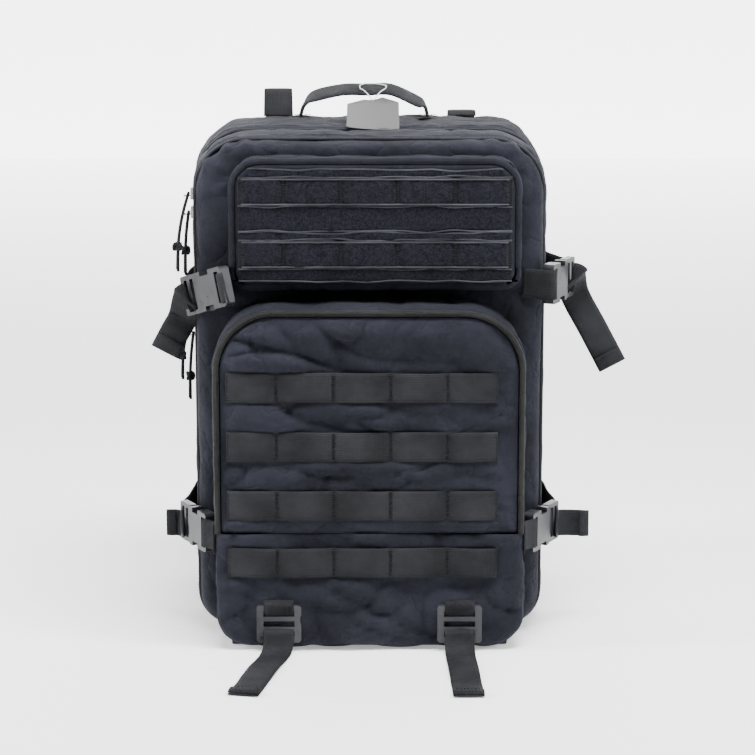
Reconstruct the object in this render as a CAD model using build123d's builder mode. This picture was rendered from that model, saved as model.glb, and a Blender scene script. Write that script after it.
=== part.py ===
from build123d import *
import os
from math import pi, radians, tan

os.makedirs("parts", exist_ok=True)

# A trauma backpack with MOLLE webbing, standing upright. Millimetres, +Z up, front towards -Y and +X to
# the right as seen from the front. Origin: on the ground, on the pack's centre line, in the plane where
# the main and the second compartments meet.

# Driving sizes
pack_width = 304
pack_top = 434
base_thickness = 3
fabric = 2.5                 # wall of a sewn, lined shell
clearance = 0.4              # gap round a piece that moves
main_depth = 109
main_zip_width = 12
mid_depth = 48
rim_zip_width = 10
panel_depth = 16
lower_pocket_width = 262
lower_pocket_top = 295
lower_pocket_depth = 51
lower_arch_radius = 52
first_row_drop = 65          # from the top of the lower pocket to its first webbing row
upper_pocket_width = 246
upper_pocket_bottom = 307
upper_pocket_top = 419
upper_pocket_depth = 21
upper_pocket_shift = 5         # the upper pocket sits a little off centre
lower_row_shift = -6
flap_thickness = 3
pocket_zip_width = 5         # grey zip seen from the front
webbing = 25.4               # one-inch webbing
webbing_thickness = 1.6
webbing_standoff = 1.2
row_pitch = 50.8
upper_row_pitch = 53
tack_pitch = 48
tack_width = 3
harness_webbing = 38
upper_strap_z = 313
lower_strap_z = 97
bottom_strap_x = 77
cord = 2.6
pad_thickness = 13

# Planes down the pack, from back to front
main_back = main_depth + main_zip_width / 2
main_rim = main_zip_width / 2
mid_back = -main_zip_width / 2
mid_rim = mid_back - mid_depth
panel_back = mid_rim - rim_zip_width
panel_face = panel_back - panel_depth
lower_rim = panel_face - lower_pocket_depth
upper_rim = panel_face - upper_pocket_depth
side_x = pack_width / 2
lower_hinge_z = lower_pocket_top - first_row_drop - 2.5 * row_pitch   # midway between two rows


def finish(builder, name):
    """Label a finished piece and write it."""
    builder.part.label = name
    export_step(builder.part, f"parts/{name}.step")


def block(width, bottom, top, top_radius, bottom_radius, back, depth, rim=0, centre=0):
    """Upright pouch block: rounded outline, extruded to the front from y = back, back rim rounded."""
    with BuildPart() as solid:
        with BuildSketch(Plane.XZ.offset(-back)) as outline:
            with Locations((centre, (bottom + top) / 2)):
                Rectangle(width, top - bottom)
            fillet(outline.vertices().group_by(Axis.Y)[-1], top_radius)
            if bottom_radius:
                fillet(outline.vertices().group_by(Axis.Y)[0], bottom_radius)
        extrude(amount=depth)
        if rim:
            fillet(solid.faces().sort_by(Axis.Y)[-1].edges(), rim)
    return solid.part


def ribbon(points, width, thickness, middle, radius=4):
    """Webbing that runs level: its path is seen from above, its width stands along Z."""
    with BuildPart() as strip:
        with BuildSketch(Plane.XY.offset(middle - width / 2)):
            with BuildLine():
                FilletPolyline(*points, radius=radius)
            trace(line_width=thickness)
        extrude(amount=width)
    return strip.part


def hanging_ribbon(points, width, thickness, middle, radius=4):
    """Webbing that runs up and down: its path is seen from the side, its width lies along X."""
    with BuildPart() as strip:
        with BuildSketch(Plane.YZ.offset(middle - width / 2)):
            with BuildLine():
                FilletPolyline(*points, radius=radius)
            trace(line_width=thickness)
        extrude(amount=width)
    return strip.part


# ---------------------------------------------------------------- compartments
top_radius = 44
bottom_radius = 30
rim_radius = 18
mid_step = 2                  # each compartment is a little slimmer than the one behind it
panel_step = 4
main_size = (pack_width, base_thickness, pack_top)
mid_size = (pack_width - 2 * mid_step, base_thickness, pack_top - mid_step)
panel_size = (pack_width - 2 * panel_step, base_thickness, pack_top - panel_step)


def sewn_tub(size, back, depth, rim, floor):
    """Hollow block, open to the front; floor is its back wall."""
    width, bottom, top = size
    outer = block(width, bottom, top, top_radius, bottom_radius, back, depth, rim)
    inner = block(width - 2 * fabric, bottom + fabric, top - fabric, top_radius - fabric,
                  bottom_radius - fabric, back - floor, depth, max(rim - fabric, 0))
    with BuildPart() as tub:
        add(outer)
        add(inner, mode=Mode.SUBTRACT)
    return tub


def zip_ring(size, back, depth, proud):
    """Zip tape round a compartment, with the coil standing proud along its middle."""
    width, bottom, top = size
    coil_width = 5
    with BuildPart() as ring:
        add(block(width, bottom, top, top_radius, bottom_radius, back, depth))
        add(block(width + 2 * proud, bottom, top + proud, top_radius, bottom_radius,
                  back - (depth - coil_width) / 2, coil_width))
        add(block(width - 2 * fabric, bottom + fabric, top - fabric, top_radius - fabric,
                  bottom_radius - fabric, back, depth), mode=Mode.SUBTRACT)
    return ring


main_shell = sewn_tub(main_size, main_back, main_depth, rim_radius, fabric)
finish(main_shell, "main_shell")

mid_shell = sewn_tub(mid_size, mid_back, mid_depth, 0, fabric)
finish(mid_shell, "mid_shell")

coil_proud = 1.4
main_zip = zip_ring(mid_size, main_rim, main_zip_width, coil_proud)
finish(main_zip, "main_zip")

mid_zip = zip_ring(panel_size, mid_rim, rim_zip_width, coil_proud)
finish(mid_zip, "mid_zip")

# The front panel is a shallow tray whose puffed rim is rounded all round, open to the back.
panel_rim = 14
panel_wall = 3
with BuildPart() as front_panel:
    with BuildSketch(Plane.XZ.offset(-panel_back)) as outline:
        with Locations((0, (panel_size[1] + panel_size[2]) / 2)):
            Rectangle(panel_size[0], panel_size[2] - panel_size[1])
        fillet(outline.vertices().group_by(Axis.Y)[-1], top_radius)
        fillet(outline.vertices().group_by(Axis.Y)[0], bottom_radius)
    extrude(amount=panel_depth)
    fillet(front_panel.faces().sort_by(Axis.Y)[0].edges(), panel_rim)
    add(block(panel_size[0] - 2 * panel_rim, base_thickness + panel_rim, panel_size[2] - panel_rim,
              top_radius - panel_rim, bottom_radius - panel_rim / 2, panel_back,
              panel_depth - panel_wall), mode=Mode.SUBTRACT)
finish(front_panel, "front_panel")

sheet_thickness = 2
sheet_margin = 32
with BuildPart() as frame_sheet:
    add(block(pack_width - 2 * sheet_margin, base_thickness + sheet_margin, pack_top - sheet_margin,
              20, 20, main_back - fabric, sheet_thickness))
finish(frame_sheet, "frame_sheet")

base_margin = 24
with BuildPart() as base_panel:
    with BuildSketch() as floor:
        with Locations((0, (main_back - rim_radius + lower_rim + base_margin / 2) / 2)):
            Rectangle(lower_pocket_width - base_margin,
                      main_back - rim_radius - lower_rim - base_margin / 2)
        fillet(floor.vertices(), 12)
    extrude(amount=base_thickness)
finish(base_panel, "base_panel")

# ---------------------------------------------------------------- pockets
lower_radius = 22


def pocket(width, bottom, top, radius, foot, back, depth, mouth_z, centre=0):
    """Pocket tub sewn to the panel behind it; its front is open above mouth_z."""
    lip = fabric
    with BuildPart() as tub:
        add(block(width, bottom, top, radius, foot, back, depth, centre=centre))
        add(block(width - 2 * fabric, bottom + fabric, top - fabric, radius - fabric, foot / 2,
                  back, depth - lip, centre=centre), mode=Mode.SUBTRACT)
        add(block(width - 2 * fabric, mouth_z, top - fabric, radius - fabric, 0,
                  back - depth + lip, lip, centre=centre), mode=Mode.SUBTRACT)
    return tub


def pocket_zip(width, mouth_z, top, radius, back, centre=0):
    """Zip round three sides of the pocket's mouth."""
    with BuildPart() as ring:
        add(block(width, mouth_z, top, radius, 0, back, flap_thickness, centre=centre))
        add(block(width - 2 * pocket_zip_width, mouth_z, top - pocket_zip_width,
                  radius - pocket_zip_width, 0, back, flap_thickness, centre=centre),
            mode=Mode.SUBTRACT)
    return ring


def flap(width, mouth_z, top, radius, back, centre=0):
    """Front of a pocket, inside its zip, turning on its lower edge."""
    inset = pocket_zip_width + clearance
    with BuildPart() as panel:
        add(block(width - 2 * inset, mouth_z + clearance, top - inset, radius - inset, 0,
                  back - clearance, flap_thickness - clearance, centre=centre))
    return panel


lower_pocket = pocket(lower_pocket_width, base_thickness, lower_pocket_top, lower_arch_radius,
                      lower_radius, panel_face, lower_pocket_depth, lower_hinge_z)
finish(lower_pocket, "lower_pocket")
lower_zip = pocket_zip(lower_pocket_width, lower_hinge_z, lower_pocket_top, lower_arch_radius, lower_rim)
finish(lower_zip, "lower_zip")
lower_flap = flap(lower_pocket_width, lower_hinge_z, lower_pocket_top, lower_arch_radius, lower_rim)
finish(lower_flap, "lower_flap")
lower_face = lower_rim - flap_thickness

divider_drop = 60
with BuildPart() as lower_divider:
    add(block(lower_pocket_width - 4 * fabric, base_thickness + fabric, lower_pocket_top - divider_drop,
              6, 6, panel_face, fabric))
finish(lower_divider, "lower_divider")

upper_radius = 26
upper_foot = 5
upper_hinge_z = upper_pocket_bottom + 6
upper_pocket = pocket(upper_pocket_width, upper_pocket_bottom, upper_pocket_top, upper_radius,
                      upper_foot, panel_face, upper_pocket_depth, upper_hinge_z, upper_pocket_shift)
finish(upper_pocket, "upper_pocket")
upper_zip = pocket_zip(upper_pocket_width, upper_hinge_z, upper_pocket_top, upper_radius, upper_rim,
                       upper_pocket_shift)
finish(upper_zip, "upper_zip")
upper_flap = flap(upper_pocket_width, upper_hinge_z, upper_pocket_top, upper_radius, upper_rim,
                  upper_pocket_shift)
finish(upper_flap, "upper_flap")
upper_face = upper_rim - flap_thickness

# ---------------------------------------------------------------- webbing rows and loop panels


def webbing_row(length, middle, face, tacks, centre=0):
    """One row of webbing in front of a face, held to it by bar tacks and by both ends."""
    half = length / 2
    with BuildPart() as row:
        with Locations((centre, face - webbing_standoff - webbing_thickness / 2, middle)):
            Box(length, webbing_thickness, webbing)
        ends = [centre - half + tack_width / 2, centre + half - tack_width / 2]
        inner = [x for x in tacks if abs(x - centre) < half - 2 * tack_width]
        with Locations(*[(x, face - webbing_standoff / 2, middle) for x in ends + inner]):
            Box(tack_width, webbing_standoff, webbing)
    return row.part


lower_rows = [lower_pocket_top - first_row_drop - row_pitch * i for i in range(3)]
fourth_row = lower_rows[-1] - row_pitch
lower_row_margin = 12
lower_row_length = lower_pocket_width - 2 * pocket_zip_width - 2 * lower_row_margin
lower_tacks = [lower_row_shift + tack_pitch * i for i in (-1.5, -0.5, 0.5, 1.5)]
with BuildPart() as lower_flap_webbing:
    for row_z in lower_rows:
        add(webbing_row(lower_row_length, row_z, lower_face, lower_tacks, lower_row_shift))
finish(lower_flap_webbing, "lower_flap_webbing")
with BuildPart() as lower_pocket_webbing:
    add(webbing_row(lower_row_length, fourth_row, lower_rim, lower_tacks, lower_row_shift))
finish(lower_pocket_webbing, "lower_pocket_webbing")

upper_row_top = upper_pocket_top - pocket_zip_width - clearance - 9.9
upper_rows = [upper_row_top - webbing / 2, upper_row_top - webbing / 2 - upper_row_pitch]
upper_tacks = [tack_pitch * i for i in (-1.5, -0.5, 0.5, 1.5)]
upper_row_length = upper_pocket_width - 2 * pocket_zip_width - 6
with BuildPart() as upper_webbing:
    for row_z in upper_rows:
        add(webbing_row(upper_row_length, row_z, upper_face, upper_tacks, upper_pocket_shift))
finish(upper_webbing, "upper_webbing")

loop_thickness = 1
loop_height = 13
with BuildPart() as upper_loop_panels:
    for row_z in (upper_rows[1] + webbing / 2 + loop_height / 2 + 7, upper_rows[1] - webbing / 2 - 4):
        height = loop_height if row_z > upper_rows[1] else 6
        with Locations((upper_pocket_shift, upper_face - loop_thickness / 2, row_z)):
            Box(upper_row_length, loop_thickness, height)
finish(upper_loop_panels, "upper_loop_panels")

side_rows = [upper_strap_z - 2 * row_pitch, upper_strap_z - 3 * row_pitch]
side_row_length = 70
side_row_y = main_rim + 14 + side_row_length / 2
with BuildPart() as side_webbing:
    for sign in (1, -1):
        for row_z in side_rows:
            with Locations((sign * (side_x + webbing_thickness / 2), side_row_y, row_z)):
                Box(webbing_thickness, side_row_length, webbing)
finish(side_webbing, "side_webbing")

# ---------------------------------------------------------------- side-release buckles
buckle_width = webbing + 8.6
buckle_thickness = 10
socket_length = 34
male_length = 22
prong_width = 5
prong_reach = 20
slot_height = 5
slide_gap = 0.3
buckle_length = socket_length + slide_gap + male_length


def strap_plane(side, start, run, z):
    """Plane of one strap: x along the strap to the rear, y up, normal away from the pack."""
    along = Vector(side * run[0], run[1], run[2]).normalized()
    outward = Vector(side * run[1], -run[0], 0).normalized()
    return Plane(origin=(side * start[0], start[1], z), x_dir=along, z_dir=outward)


def buckle_socket(plane):
    """Female half: a flat box open at the rear, windowed at both edges, with a webbing bar in front."""
    bar = 4
    half = buckle_thickness / 2
    cavity = socket_length - 3 * bar
    with BuildPart() as socket:
        with BuildSketch(plane.offset(-half)) as outline:
            with Locations((socket_length / 2, 0)):
                Rectangle(socket_length, buckle_width)
            fillet(outline.vertices(), 3)
        extrude(amount=buckle_thickness)
        with BuildSketch(plane.offset(-half)):
            with Locations((bar + slot_height / 2, 0)):
                Rectangle(slot_height, webbing + 1)
        extrude(amount=buckle_thickness, mode=Mode.SUBTRACT)
        with BuildSketch(plane.offset(-half + 2)):
            with Locations((socket_length - cavity / 2, 0)):
                Rectangle(cavity, buckle_width - 2 * bar)
        extrude(amount=buckle_thickness - 4, mode=Mode.SUBTRACT)
        with BuildSketch(plane.offset(-half)):
            with Locations((socket_length - cavity / 2 - 1, buckle_width / 2),
                           (socket_length - cavity / 2 - 1, -buckle_width / 2)):
                Rectangle(cavity / 2, 2 * bar)
        extrude(amount=buckle_thickness, mode=Mode.SUBTRACT)
    return socket.part


def buckle_male(plane):
    """Male half: a ladder plate with two webbing slots, a guide tongue and two sprung arms."""
    start = socket_length + slide_gap
    half = 3
    inside = buckle_width / 2 - 4 - clearance
    with BuildPart() as male:
        with BuildSketch(plane.offset(-half)) as outline:
            with Locations((start + male_length / 2, 0)):
                Rectangle(male_length, buckle_width)
            fillet(outline.vertices(), 2)
            with Locations((start + 8, 0), (start + 16, 0)):
                Rectangle(slot_height - 1, webbing + 1, mode=Mode.SUBTRACT)
        extrude(amount=2 * half)
        with BuildSketch(plane.offset(-half + clearance)):
            with Locations((start - prong_reach / 2 + 1, 0)):
                Rectangle(prong_reach + 2, prong_width)
            with Locations((start - prong_reach / 2 + 1, inside - prong_width / 2),
                           (start - prong_reach / 2 + 1, -inside + prong_width / 2)):
                Rectangle(prong_reach + 2, prong_width)
        extrude(amount=2 * half - 2 * clearance)
    return male.part


def strap_end(plane):
    """Middle of the male half's rear edge."""
    return plane.from_local_coords((buckle_length, 0, 0))


# start of the buckle, direction of the strap, height; all for the side given by the sign
lower_start = (max(side_x - 16, lower_pocket_width / 2 + 5), panel_face - 28)
straps = {
    "upper_left": (-1, (side_x - 33, panel_face - 32), (0.70, 0.714, -0.30), upper_strap_z),
    "upper_right": (1, (side_x, panel_face - 5), (0.42, 0.907, 0), upper_strap_z - 4),
    "lower_left": (-1, lower_start, (0.48, 0.877, 0), lower_strap_z),
    "lower_right": (1, lower_start, (0.48, 0.877, 0), lower_strap_z),
}
strap_bend_y = main_rim + 14
anchor_y = strap_bend_y + 20
anchor_length = 50
anchor_x = side_x + webbing_thickness / 2
live_x = side_x + webbing_thickness + slide_gap + webbing_thickness / 2
planes = {}
for name, (side, start, run, strap_z) in straps.items():
    planes[name] = strap_plane(side, start, run, strap_z)

with BuildPart() as buckle_sockets:
    for name in straps:
        add(buckle_socket(planes[name]))
finish(buckle_sockets, "buckle_sockets")

for name in straps:
    with BuildPart() as male:
        add(buckle_male(planes[name]))
    finish(male, f"{name}_male")

# Front ends of the straps, sewn to the panel's face (upper) or the lower pocket's sides (lower)
upper_tab_y = panel_face - webbing_thickness / 2
tab_bulge = {"upper_left": 3, "upper_right": -4}
lower_tab_x = lower_pocket_width / 2 + webbing_thickness / 2
with BuildPart() as strap_tabs:
    for name, (side, start, run, strap_z) in straps.items():
        if name.startswith("upper"):
            path = [(side * (upper_pocket_width / 2 + 2.5) + upper_pocket_shift, upper_tab_y),
                    (side * (start[0] + tab_bulge[name]), (upper_tab_y + start[1]) / 2),
                    (side * (start[0] - 0.4), start[1] - 0.3)]
        else:
            path = [(side * lower_tab_x, start[1] - 18), (side * lower_tab_x, start[1] - 7),
                    (side * (start[0] - 0.4), start[1] - 0.3)]
        add(ribbon(path, webbing, webbing_thickness, strap_z, radius=2))
finish(strap_tabs, "strap_tabs")

with BuildPart() as rear_anchors:
    for side, start, run, strap_z in straps.values():
        with Locations((side * anchor_x, anchor_y + anchor_length / 2, strap_z)):
            Box(webbing_thickness, anchor_length, webbing)
finish(rear_anchors, "rear_anchors")

# Each strap runs from the male half back to its sewn end, and leaves a tail behind the ladder.
hanging_tail = {"upper_left": (46, -2), "upper_right": (84, 6)}   # length, and set-back from the buckle
tail_slope = (0.88, 0.47)      # across and down, of a tail that hangs outwards
tail_inset = 12.2              # its inner edge, inwards from the strap's end
side_tail = {"lower_left": 12, "lower_right": 30}
for name, (side, start, run, strap_z) in straps.items():
    end = strap_end(planes[name])
    with BuildPart() as strap:
        path = [(end.X, end.Y), (side * (live_x + 3), strap_bend_y), (side * live_x, anchor_y - slide_gap)]
        add(ribbon(path, webbing, webbing_thickness, end.Z, radius=6))
        if name.startswith("upper"):
            hang_x = end.X - side * (tail_inset - tail_slope[0] * webbing / 2)
            tail_length, set_back = hanging_tail[name]
            hang = Plane(origin=(hang_x, end.Y + set_back, end.Z - 8),
                         x_dir=(tail_slope[0], 0, side * tail_slope[1]), z_dir=(0, -1, 0))
            with BuildSketch(hang):
                Rectangle(webbing, tail_length, align=(Align.CENTER, Align.MAX))
            extrude(amount=webbing_thickness)
        else:
            reach = end.X + side * side_tail[name]
            path = [(end.X - side * 1, end.Y + 2), (end.X + side * 8, end.Y + 7), (reach, end.Y + 4)]
            add(ribbon(path, webbing - 2, webbing_thickness, end.Z - 5, radius=2))
    finish(strap, f"{name}_strap")

# ---------------------------------------------------------------- bottom straps
lock_width = webbing + 12.6
lock_height = 33
lock_thickness = 4
lock_z = 8 + lock_height / 2
lock_back = lower_rim - webbing_thickness - clearance
lock_slot = 5
with BuildPart() as bottom_locks:
    for sign in (1, -1):
        with BuildSketch(Plane.XZ.offset(-lock_back)) as plate:
            with Locations((sign * bottom_strap_x, lock_z)):
                Rectangle(lock_width, lock_height)
            fillet(plate.vertices(), 3)
            for drop in (-9, 0, 9):
                with Locations((sign * bottom_strap_x, lock_z + drop)):
                    Rectangle(webbing + 1, lock_slot, mode=Mode.SUBTRACT)
        extrude(amount=lock_thickness)
finish(bottom_locks, "bottom_locks")

tail_reach = 131
tail_front = lower_rim - tail_reach
tail_y = lock_back - lock_thickness - webbing_thickness / 2
half_web = webbing_thickness / 2
for sign, name in ((1, "bottom_strap_right"), (-1, "bottom_strap_left")):
    lean = 0 if sign > 0 else 4
    with BuildPart() as strap:
        with Locations((sign * bottom_strap_x, lower_rim - half_web, (base_thickness + lock_z + 20) / 2)):
            Box(webbing, webbing_thickness, lock_z + 20 - base_thickness)
        add(hanging_ribbon([(tail_y, lock_z + 9), (tail_y - 3, lock_z - 8), (tail_y - 22, half_web),
                            (tail_front + lean, half_web)],
                           webbing, webbing_thickness, sign * bottom_strap_x, radius=5))
        with Locations((sign * bottom_strap_x, (lower_rim + tail_y - webbing_thickness) / 2, lock_z + 9)):
            Box(webbing, lower_rim - tail_y, webbing_thickness)
    finish(strap, name)

# ---------------------------------------------------------------- top handle and tag
handle_y = main_back - 37
handle_width = 25
handle_thickness = 3
handle_left = -62
handle_right = 52
handle_foot = 3
handle_top = pack_top + 27
with BuildPart() as handle_base:
    for x in (handle_left, handle_right):
        with Locations((x, handle_y, pack_top + handle_foot / 2)):
            Box(22, handle_width, handle_foot)
finish(handle_base, "handle_base")

handle_floor = pack_top + handle_foot + clearance
with BuildPart() as grab_handle:
    with BuildSketch(Plane.XZ.offset(-(handle_y + handle_width / 2))):
        with BuildLine():
            FilletPolyline((handle_left, handle_floor), (handle_left + 5, handle_top - 8),
                           (handle_left + 40, handle_top), (handle_right - 34, handle_top),
                           (handle_right - 4, handle_top - 13), (handle_right, handle_floor), radius=7)
        trace(line_width=handle_thickness)
    extrude(amount=handle_width)
    # the feet are cut level where they meet the sewn base
    with Locations((0, handle_y, handle_floor - 5)):
        Box(2 * pack_width, 2 * handle_width, 10, mode=Mode.SUBTRACT)
finish(grab_handle, "grab_handle")

tag_width = 46
tag_length = 62
tag_thickness = 0.6
tag_shoulder = 10
tag_plane = Plane(origin=(3, handle_y - 28, pack_top + 20), x_dir=(1, 0, 0), z_dir=(0, -0.33, 0.944))
with BuildPart() as hang_tag:
    with BuildSketch(tag_plane):
        with BuildLine():
            Polyline((-tag_width / 2, -tag_length), (tag_width / 2, -tag_length),
                     (tag_width / 2, -tag_shoulder), (8, 0), (-8, 0), (-tag_width / 2, -tag_shoulder),
                     close=True)
        make_face()
        with Locations((0, -5)):
            Circle(2, mode=Mode.SUBTRACT)
    extrude(amount=tag_thickness)
finish(hang_tag, "hang_tag")

string = 1
tag_hole = tag_plane.from_local_coords((0, -5, 0))
with BuildPart() as tag_string:
    with BuildLine() as route:
        FilletPolyline((tag_hole.X - 1, tag_hole.Y, tag_hole.Z + 2),
                       (tag_hole.X - 6, handle_y - handle_width / 2 - 6, tag_hole.Z + 8),
                       (tag_hole.X - 12, handle_y - handle_width / 2 - 2.5, handle_top + 2),
                       (tag_hole.X - 12, handle_y, handle_top + 4),
                       (tag_hole.X - 4, handle_y + 4, handle_top + 5),
                       (tag_hole.X + 12, handle_y, handle_top + 4),
                       (tag_hole.X + 12, handle_y - handle_width / 2 - 2.5, handle_top + 2),
                       (tag_hole.X + 6, handle_y - handle_width / 2 - 6, tag_hole.Z + 8),
                       (tag_hole.X + 1, tag_hole.Y, tag_hole.Z + 2), radius=2)
    with BuildSketch(Plane(origin=route.line @ 0, z_dir=route.line % 0)):
        Circle(string / 2)
    sweep()
finish(tag_string, "tag_string")
print("tag string", round(route.wire().length, 1), tag_string.part.volume)

# ---------------------------------------------------------------- back and harness
pad_margin = 24
back_face = main_back + pad_thickness
with BuildPart() as back_pad:
    add(block(pack_width - 2 * pad_margin, base_thickness + pad_margin, pack_top - pad_margin,
              30, 30, back_face, pad_thickness, 4))
finish(back_pad, "back_pad")

strap_thickness = 11
strap_front = back_face + clearance
strap_path = [(42, pack_top - 38), (62, pack_top - 90), (98, pack_top - 140), (106, pack_top - 215),
              (88, 162)]
shoulder_width = 60
yoke_height = 34
yoke_width = 140


def mirrored_path(path, sign):
    """The same path on the side given by the sign."""
    return [(sign * x, z) for x, z in path]


for sign, name in ((-1, "shoulder_strap_left"), (1, "shoulder_strap_right")):
    with BuildPart() as shoulder:
        with BuildSketch(Plane.XZ.offset(-(strap_front + strap_thickness))):
            with BuildLine():
                FilletPolyline(*mirrored_path(strap_path, sign), radius=35)
            trace(line_width=shoulder_width)
        extrude(amount=strap_thickness)
    finish(shoulder, name)

with BuildPart() as strap_yoke:
    with Locations((0, strap_front + strap_thickness / 2, strap_path[0][1] + 1)):
        Box(18, strap_thickness, yoke_height)
    with Locations((0, strap_front + strap_thickness + fabric / 2 + clearance, strap_path[0][1] + 1)):
        Box(yoke_width, fabric, yoke_height)
    with Locations((0, strap_front + strap_thickness + clearance / 2, strap_path[0][1] + 1)):
        Box(18, clearance, yoke_height)
finish(strap_yoke, "strap_yoke")

# Lower ends of the shoulder straps: webbing to the pack's bottom corners, through a ladder lock each
harness_y = strap_front + webbing_thickness / 2
adjuster_z = strap_path[-1][1] - 20
adjuster_x = strap_path[-1][0] - 7
with BuildPart() as lower_harness:
    for sign in (1, -1):
        with BuildSketch(Plane.XZ.offset(-(harness_y + half_web))):
            with BuildLine():
                FilletPolyline((sign * adjuster_x, adjuster_z - 14), (sign * (adjuster_x + 8), 90),
                               (sign * (side_x - 40), 44), radius=20)
            trace(line_width=webbing)
        extrude(amount=webbing_thickness)
        with Locations((sign * adjuster_x, strap_front + lock_thickness / 2, adjuster_z)):
            Box(lock_width, lock_thickness, lock_height - 6)
        with Locations((sign * (adjuster_x + 2), strap_front + lock_thickness + half_web, adjuster_z - 34)):
            Box(webbing, webbing_thickness, 70)
finish(lower_harness, "lower_harness")

# Load lifters: from the pack's top rear edge over to each shoulder strap
lifter_x = yoke_width / 2 + webbing / 2 + 1.3
lifter_top = pack_top + 22
lifter_y = strap_front + strap_thickness + half_web + clearance
with BuildPart() as load_lifters:
    for sign, rise in ((-1, lifter_top), (1, pack_top + 4)):
        add(hanging_ribbon([(main_back - rim_radius, pack_top + half_web), (main_back - 8, rise),
                            (main_back + 8, rise), (lifter_y, pack_top - 18), (lifter_y, pack_top - 90)],
                           webbing, webbing_thickness, sign * lifter_x, radius=4))
finish(load_lifters, "load_lifters")

# Sternum strap across the shoulder straps
sternum_z = pack_top - 138
sternum_y = strap_front + strap_thickness + 0.5 + buckle_thickness / 2
sternum_plane = Plane(origin=(-buckle_length / 2, sternum_y, sternum_z), x_dir=(1, 0, 0), z_dir=(0, 1, 0))
sternum_reach = 118
with BuildPart() as sternum_left:
    with Locations(((-sternum_reach - buckle_length / 2) / 2, sternum_y, sternum_z)):
        Box(sternum_reach - buckle_length / 2, webbing_thickness, webbing - 5)
finish(sternum_left, "sternum_left")
with BuildPart() as sternum_socket:
    add(buckle_socket(sternum_plane))
finish(sternum_socket, "sternum_socket")
with BuildPart() as sternum_male:
    add(buckle_male(sternum_plane))
    with Locations(((sternum_reach + buckle_length / 2) / 2, sternum_y, sternum_z)):
        Box(sternum_reach - buckle_length / 2, webbing_thickness, webbing - 5)
finish(sternum_male, "sternum_male")

# Waist belt: wide webbing from both lower rear corners to a buckle behind the back pad
waist_z = 30
waist_y = back_face + lock_thickness + 2 * webbing_thickness + 2 + buckle_thickness / 2
waist_plane = Plane(origin=(-buckle_length / 2, waist_y, waist_z), x_dir=(1, 0, 0), z_dir=(0, 1, 0))
waist_stitch = side_x - 24


def belt_half(sign):
    """One side of the waist belt, from the buckle to its sewn corner and its loose tip."""
    return ribbon([(sign * buckle_length / 2, waist_y), (sign * waist_stitch, waist_y - 2),
                   (sign * (side_x + 1), main_back + 3), (sign * (side_x + 1), main_back - 30)],
                  harness_webbing, webbing_thickness, waist_z, radius=8)


with BuildPart() as waist_belt:
    add(belt_half(-1))
finish(waist_belt, "waist_belt")
with BuildPart() as waist_socket:
    add(buckle_socket(waist_plane))
finish(waist_socket, "waist_socket")
with BuildPart() as waist_male:
    add(buckle_male(waist_plane))
    add(ribbon([(buckle_length / 2, waist_y), (side_x - 40, waist_y - 1), (side_x - 10, waist_y + 4)],
               harness_webbing, webbing_thickness, waist_z, radius=8))
finish(waist_male, "waist_male")
with BuildPart() as waist_tip:
    with Locations((side_x + half_web, main_back - 34, waist_z)):
        Box(webbing_thickness, 48, harness_webbing)
finish(waist_tip, "waist_tip")

# ---------------------------------------------------------------- zip sliders and corded pulls
slider_length = 10
slider_width = 8
slider_thickness = 3
peg_radius = 0.6
peg_length = 5
slider_gap = 16


def slider(x, y, z, side):
    """Zip slider on a side face, with the peg that its cord hangs from."""
    with BuildPart() as body:
        with Locations((x + side * slider_thickness / 2, y, z)):
            Box(slider_thickness, slider_width, slider_length)
        with BuildSketch(Plane(origin=(x + side * slider_thickness, y, z - 2), z_dir=(side, 0, 0))):
            Circle(peg_radius)
        extrude(amount=peg_length)
        with BuildSketch(Plane(origin=(x + side * (slider_thickness + peg_length), y, z - 2),
                               z_dir=(side, 0, 0))):
            Circle(2 * peg_radius)
        extrude(amount=1)
    return body.part


def pull_cord(name, peg, knot, tails):
    """Doubled cord over a peg: up from one tail, round the peg and down to the other."""
    half = (cord + 0.3) / 2
    fold = peg_radius + cord / 2 + 0.5
    x, y, z = peg
    knot_x, knot_y, knot_z = knot
    middle = (0.4 * x + 0.6 * knot_x, 0.3 * y + 0.7 * knot_y, 0.6 * z + 0.4 * knot_z)
    points = [(knot_x, knot_y - half - tails[0], knot_z - tails[2]),
              (knot_x, knot_y - half, knot_z),
              (middle[0], middle[1] - fold + 0.4, middle[2]),
              (x, y - fold, z + fold - 0.2),
              (x, y + fold, z + fold - 0.2),
              (middle[0], middle[1] + fold - 0.2, middle[2]),
              (knot_x, knot_y + half, knot_z),
              (knot_x, knot_y + half + tails[1], knot_z - tails[2] - 3)]
    radii = []
    for before, here, after in zip(points, points[1:], points[2:]):
        arriving = Vector(*here) - Vector(*before)
        leaving = Vector(*after) - Vector(*here)
        turn = arriving.get_angle(leaving)
        radii.append(0.45 * min(arriving.length, leaving.length) / tan(radians(turn) / 2))
    print(name, "radii", [round(r, 1) for r in radii])
    with BuildPart() as tube:
        with BuildLine() as route:
            FilletPolyline(*points, radius=radii)
        with BuildSketch(Plane(origin=route.line @ 0, z_dir=route.line % 0)):
            Circle(cord / 2)
        sweep()
    section = pi * cord ** 2 / 4
    print(name, "length", round(route.wire().length, 1), "volume ratio",
          round(tube.part.volume / section / route.wire().length, 4))
    finish(tube, name)


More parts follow.
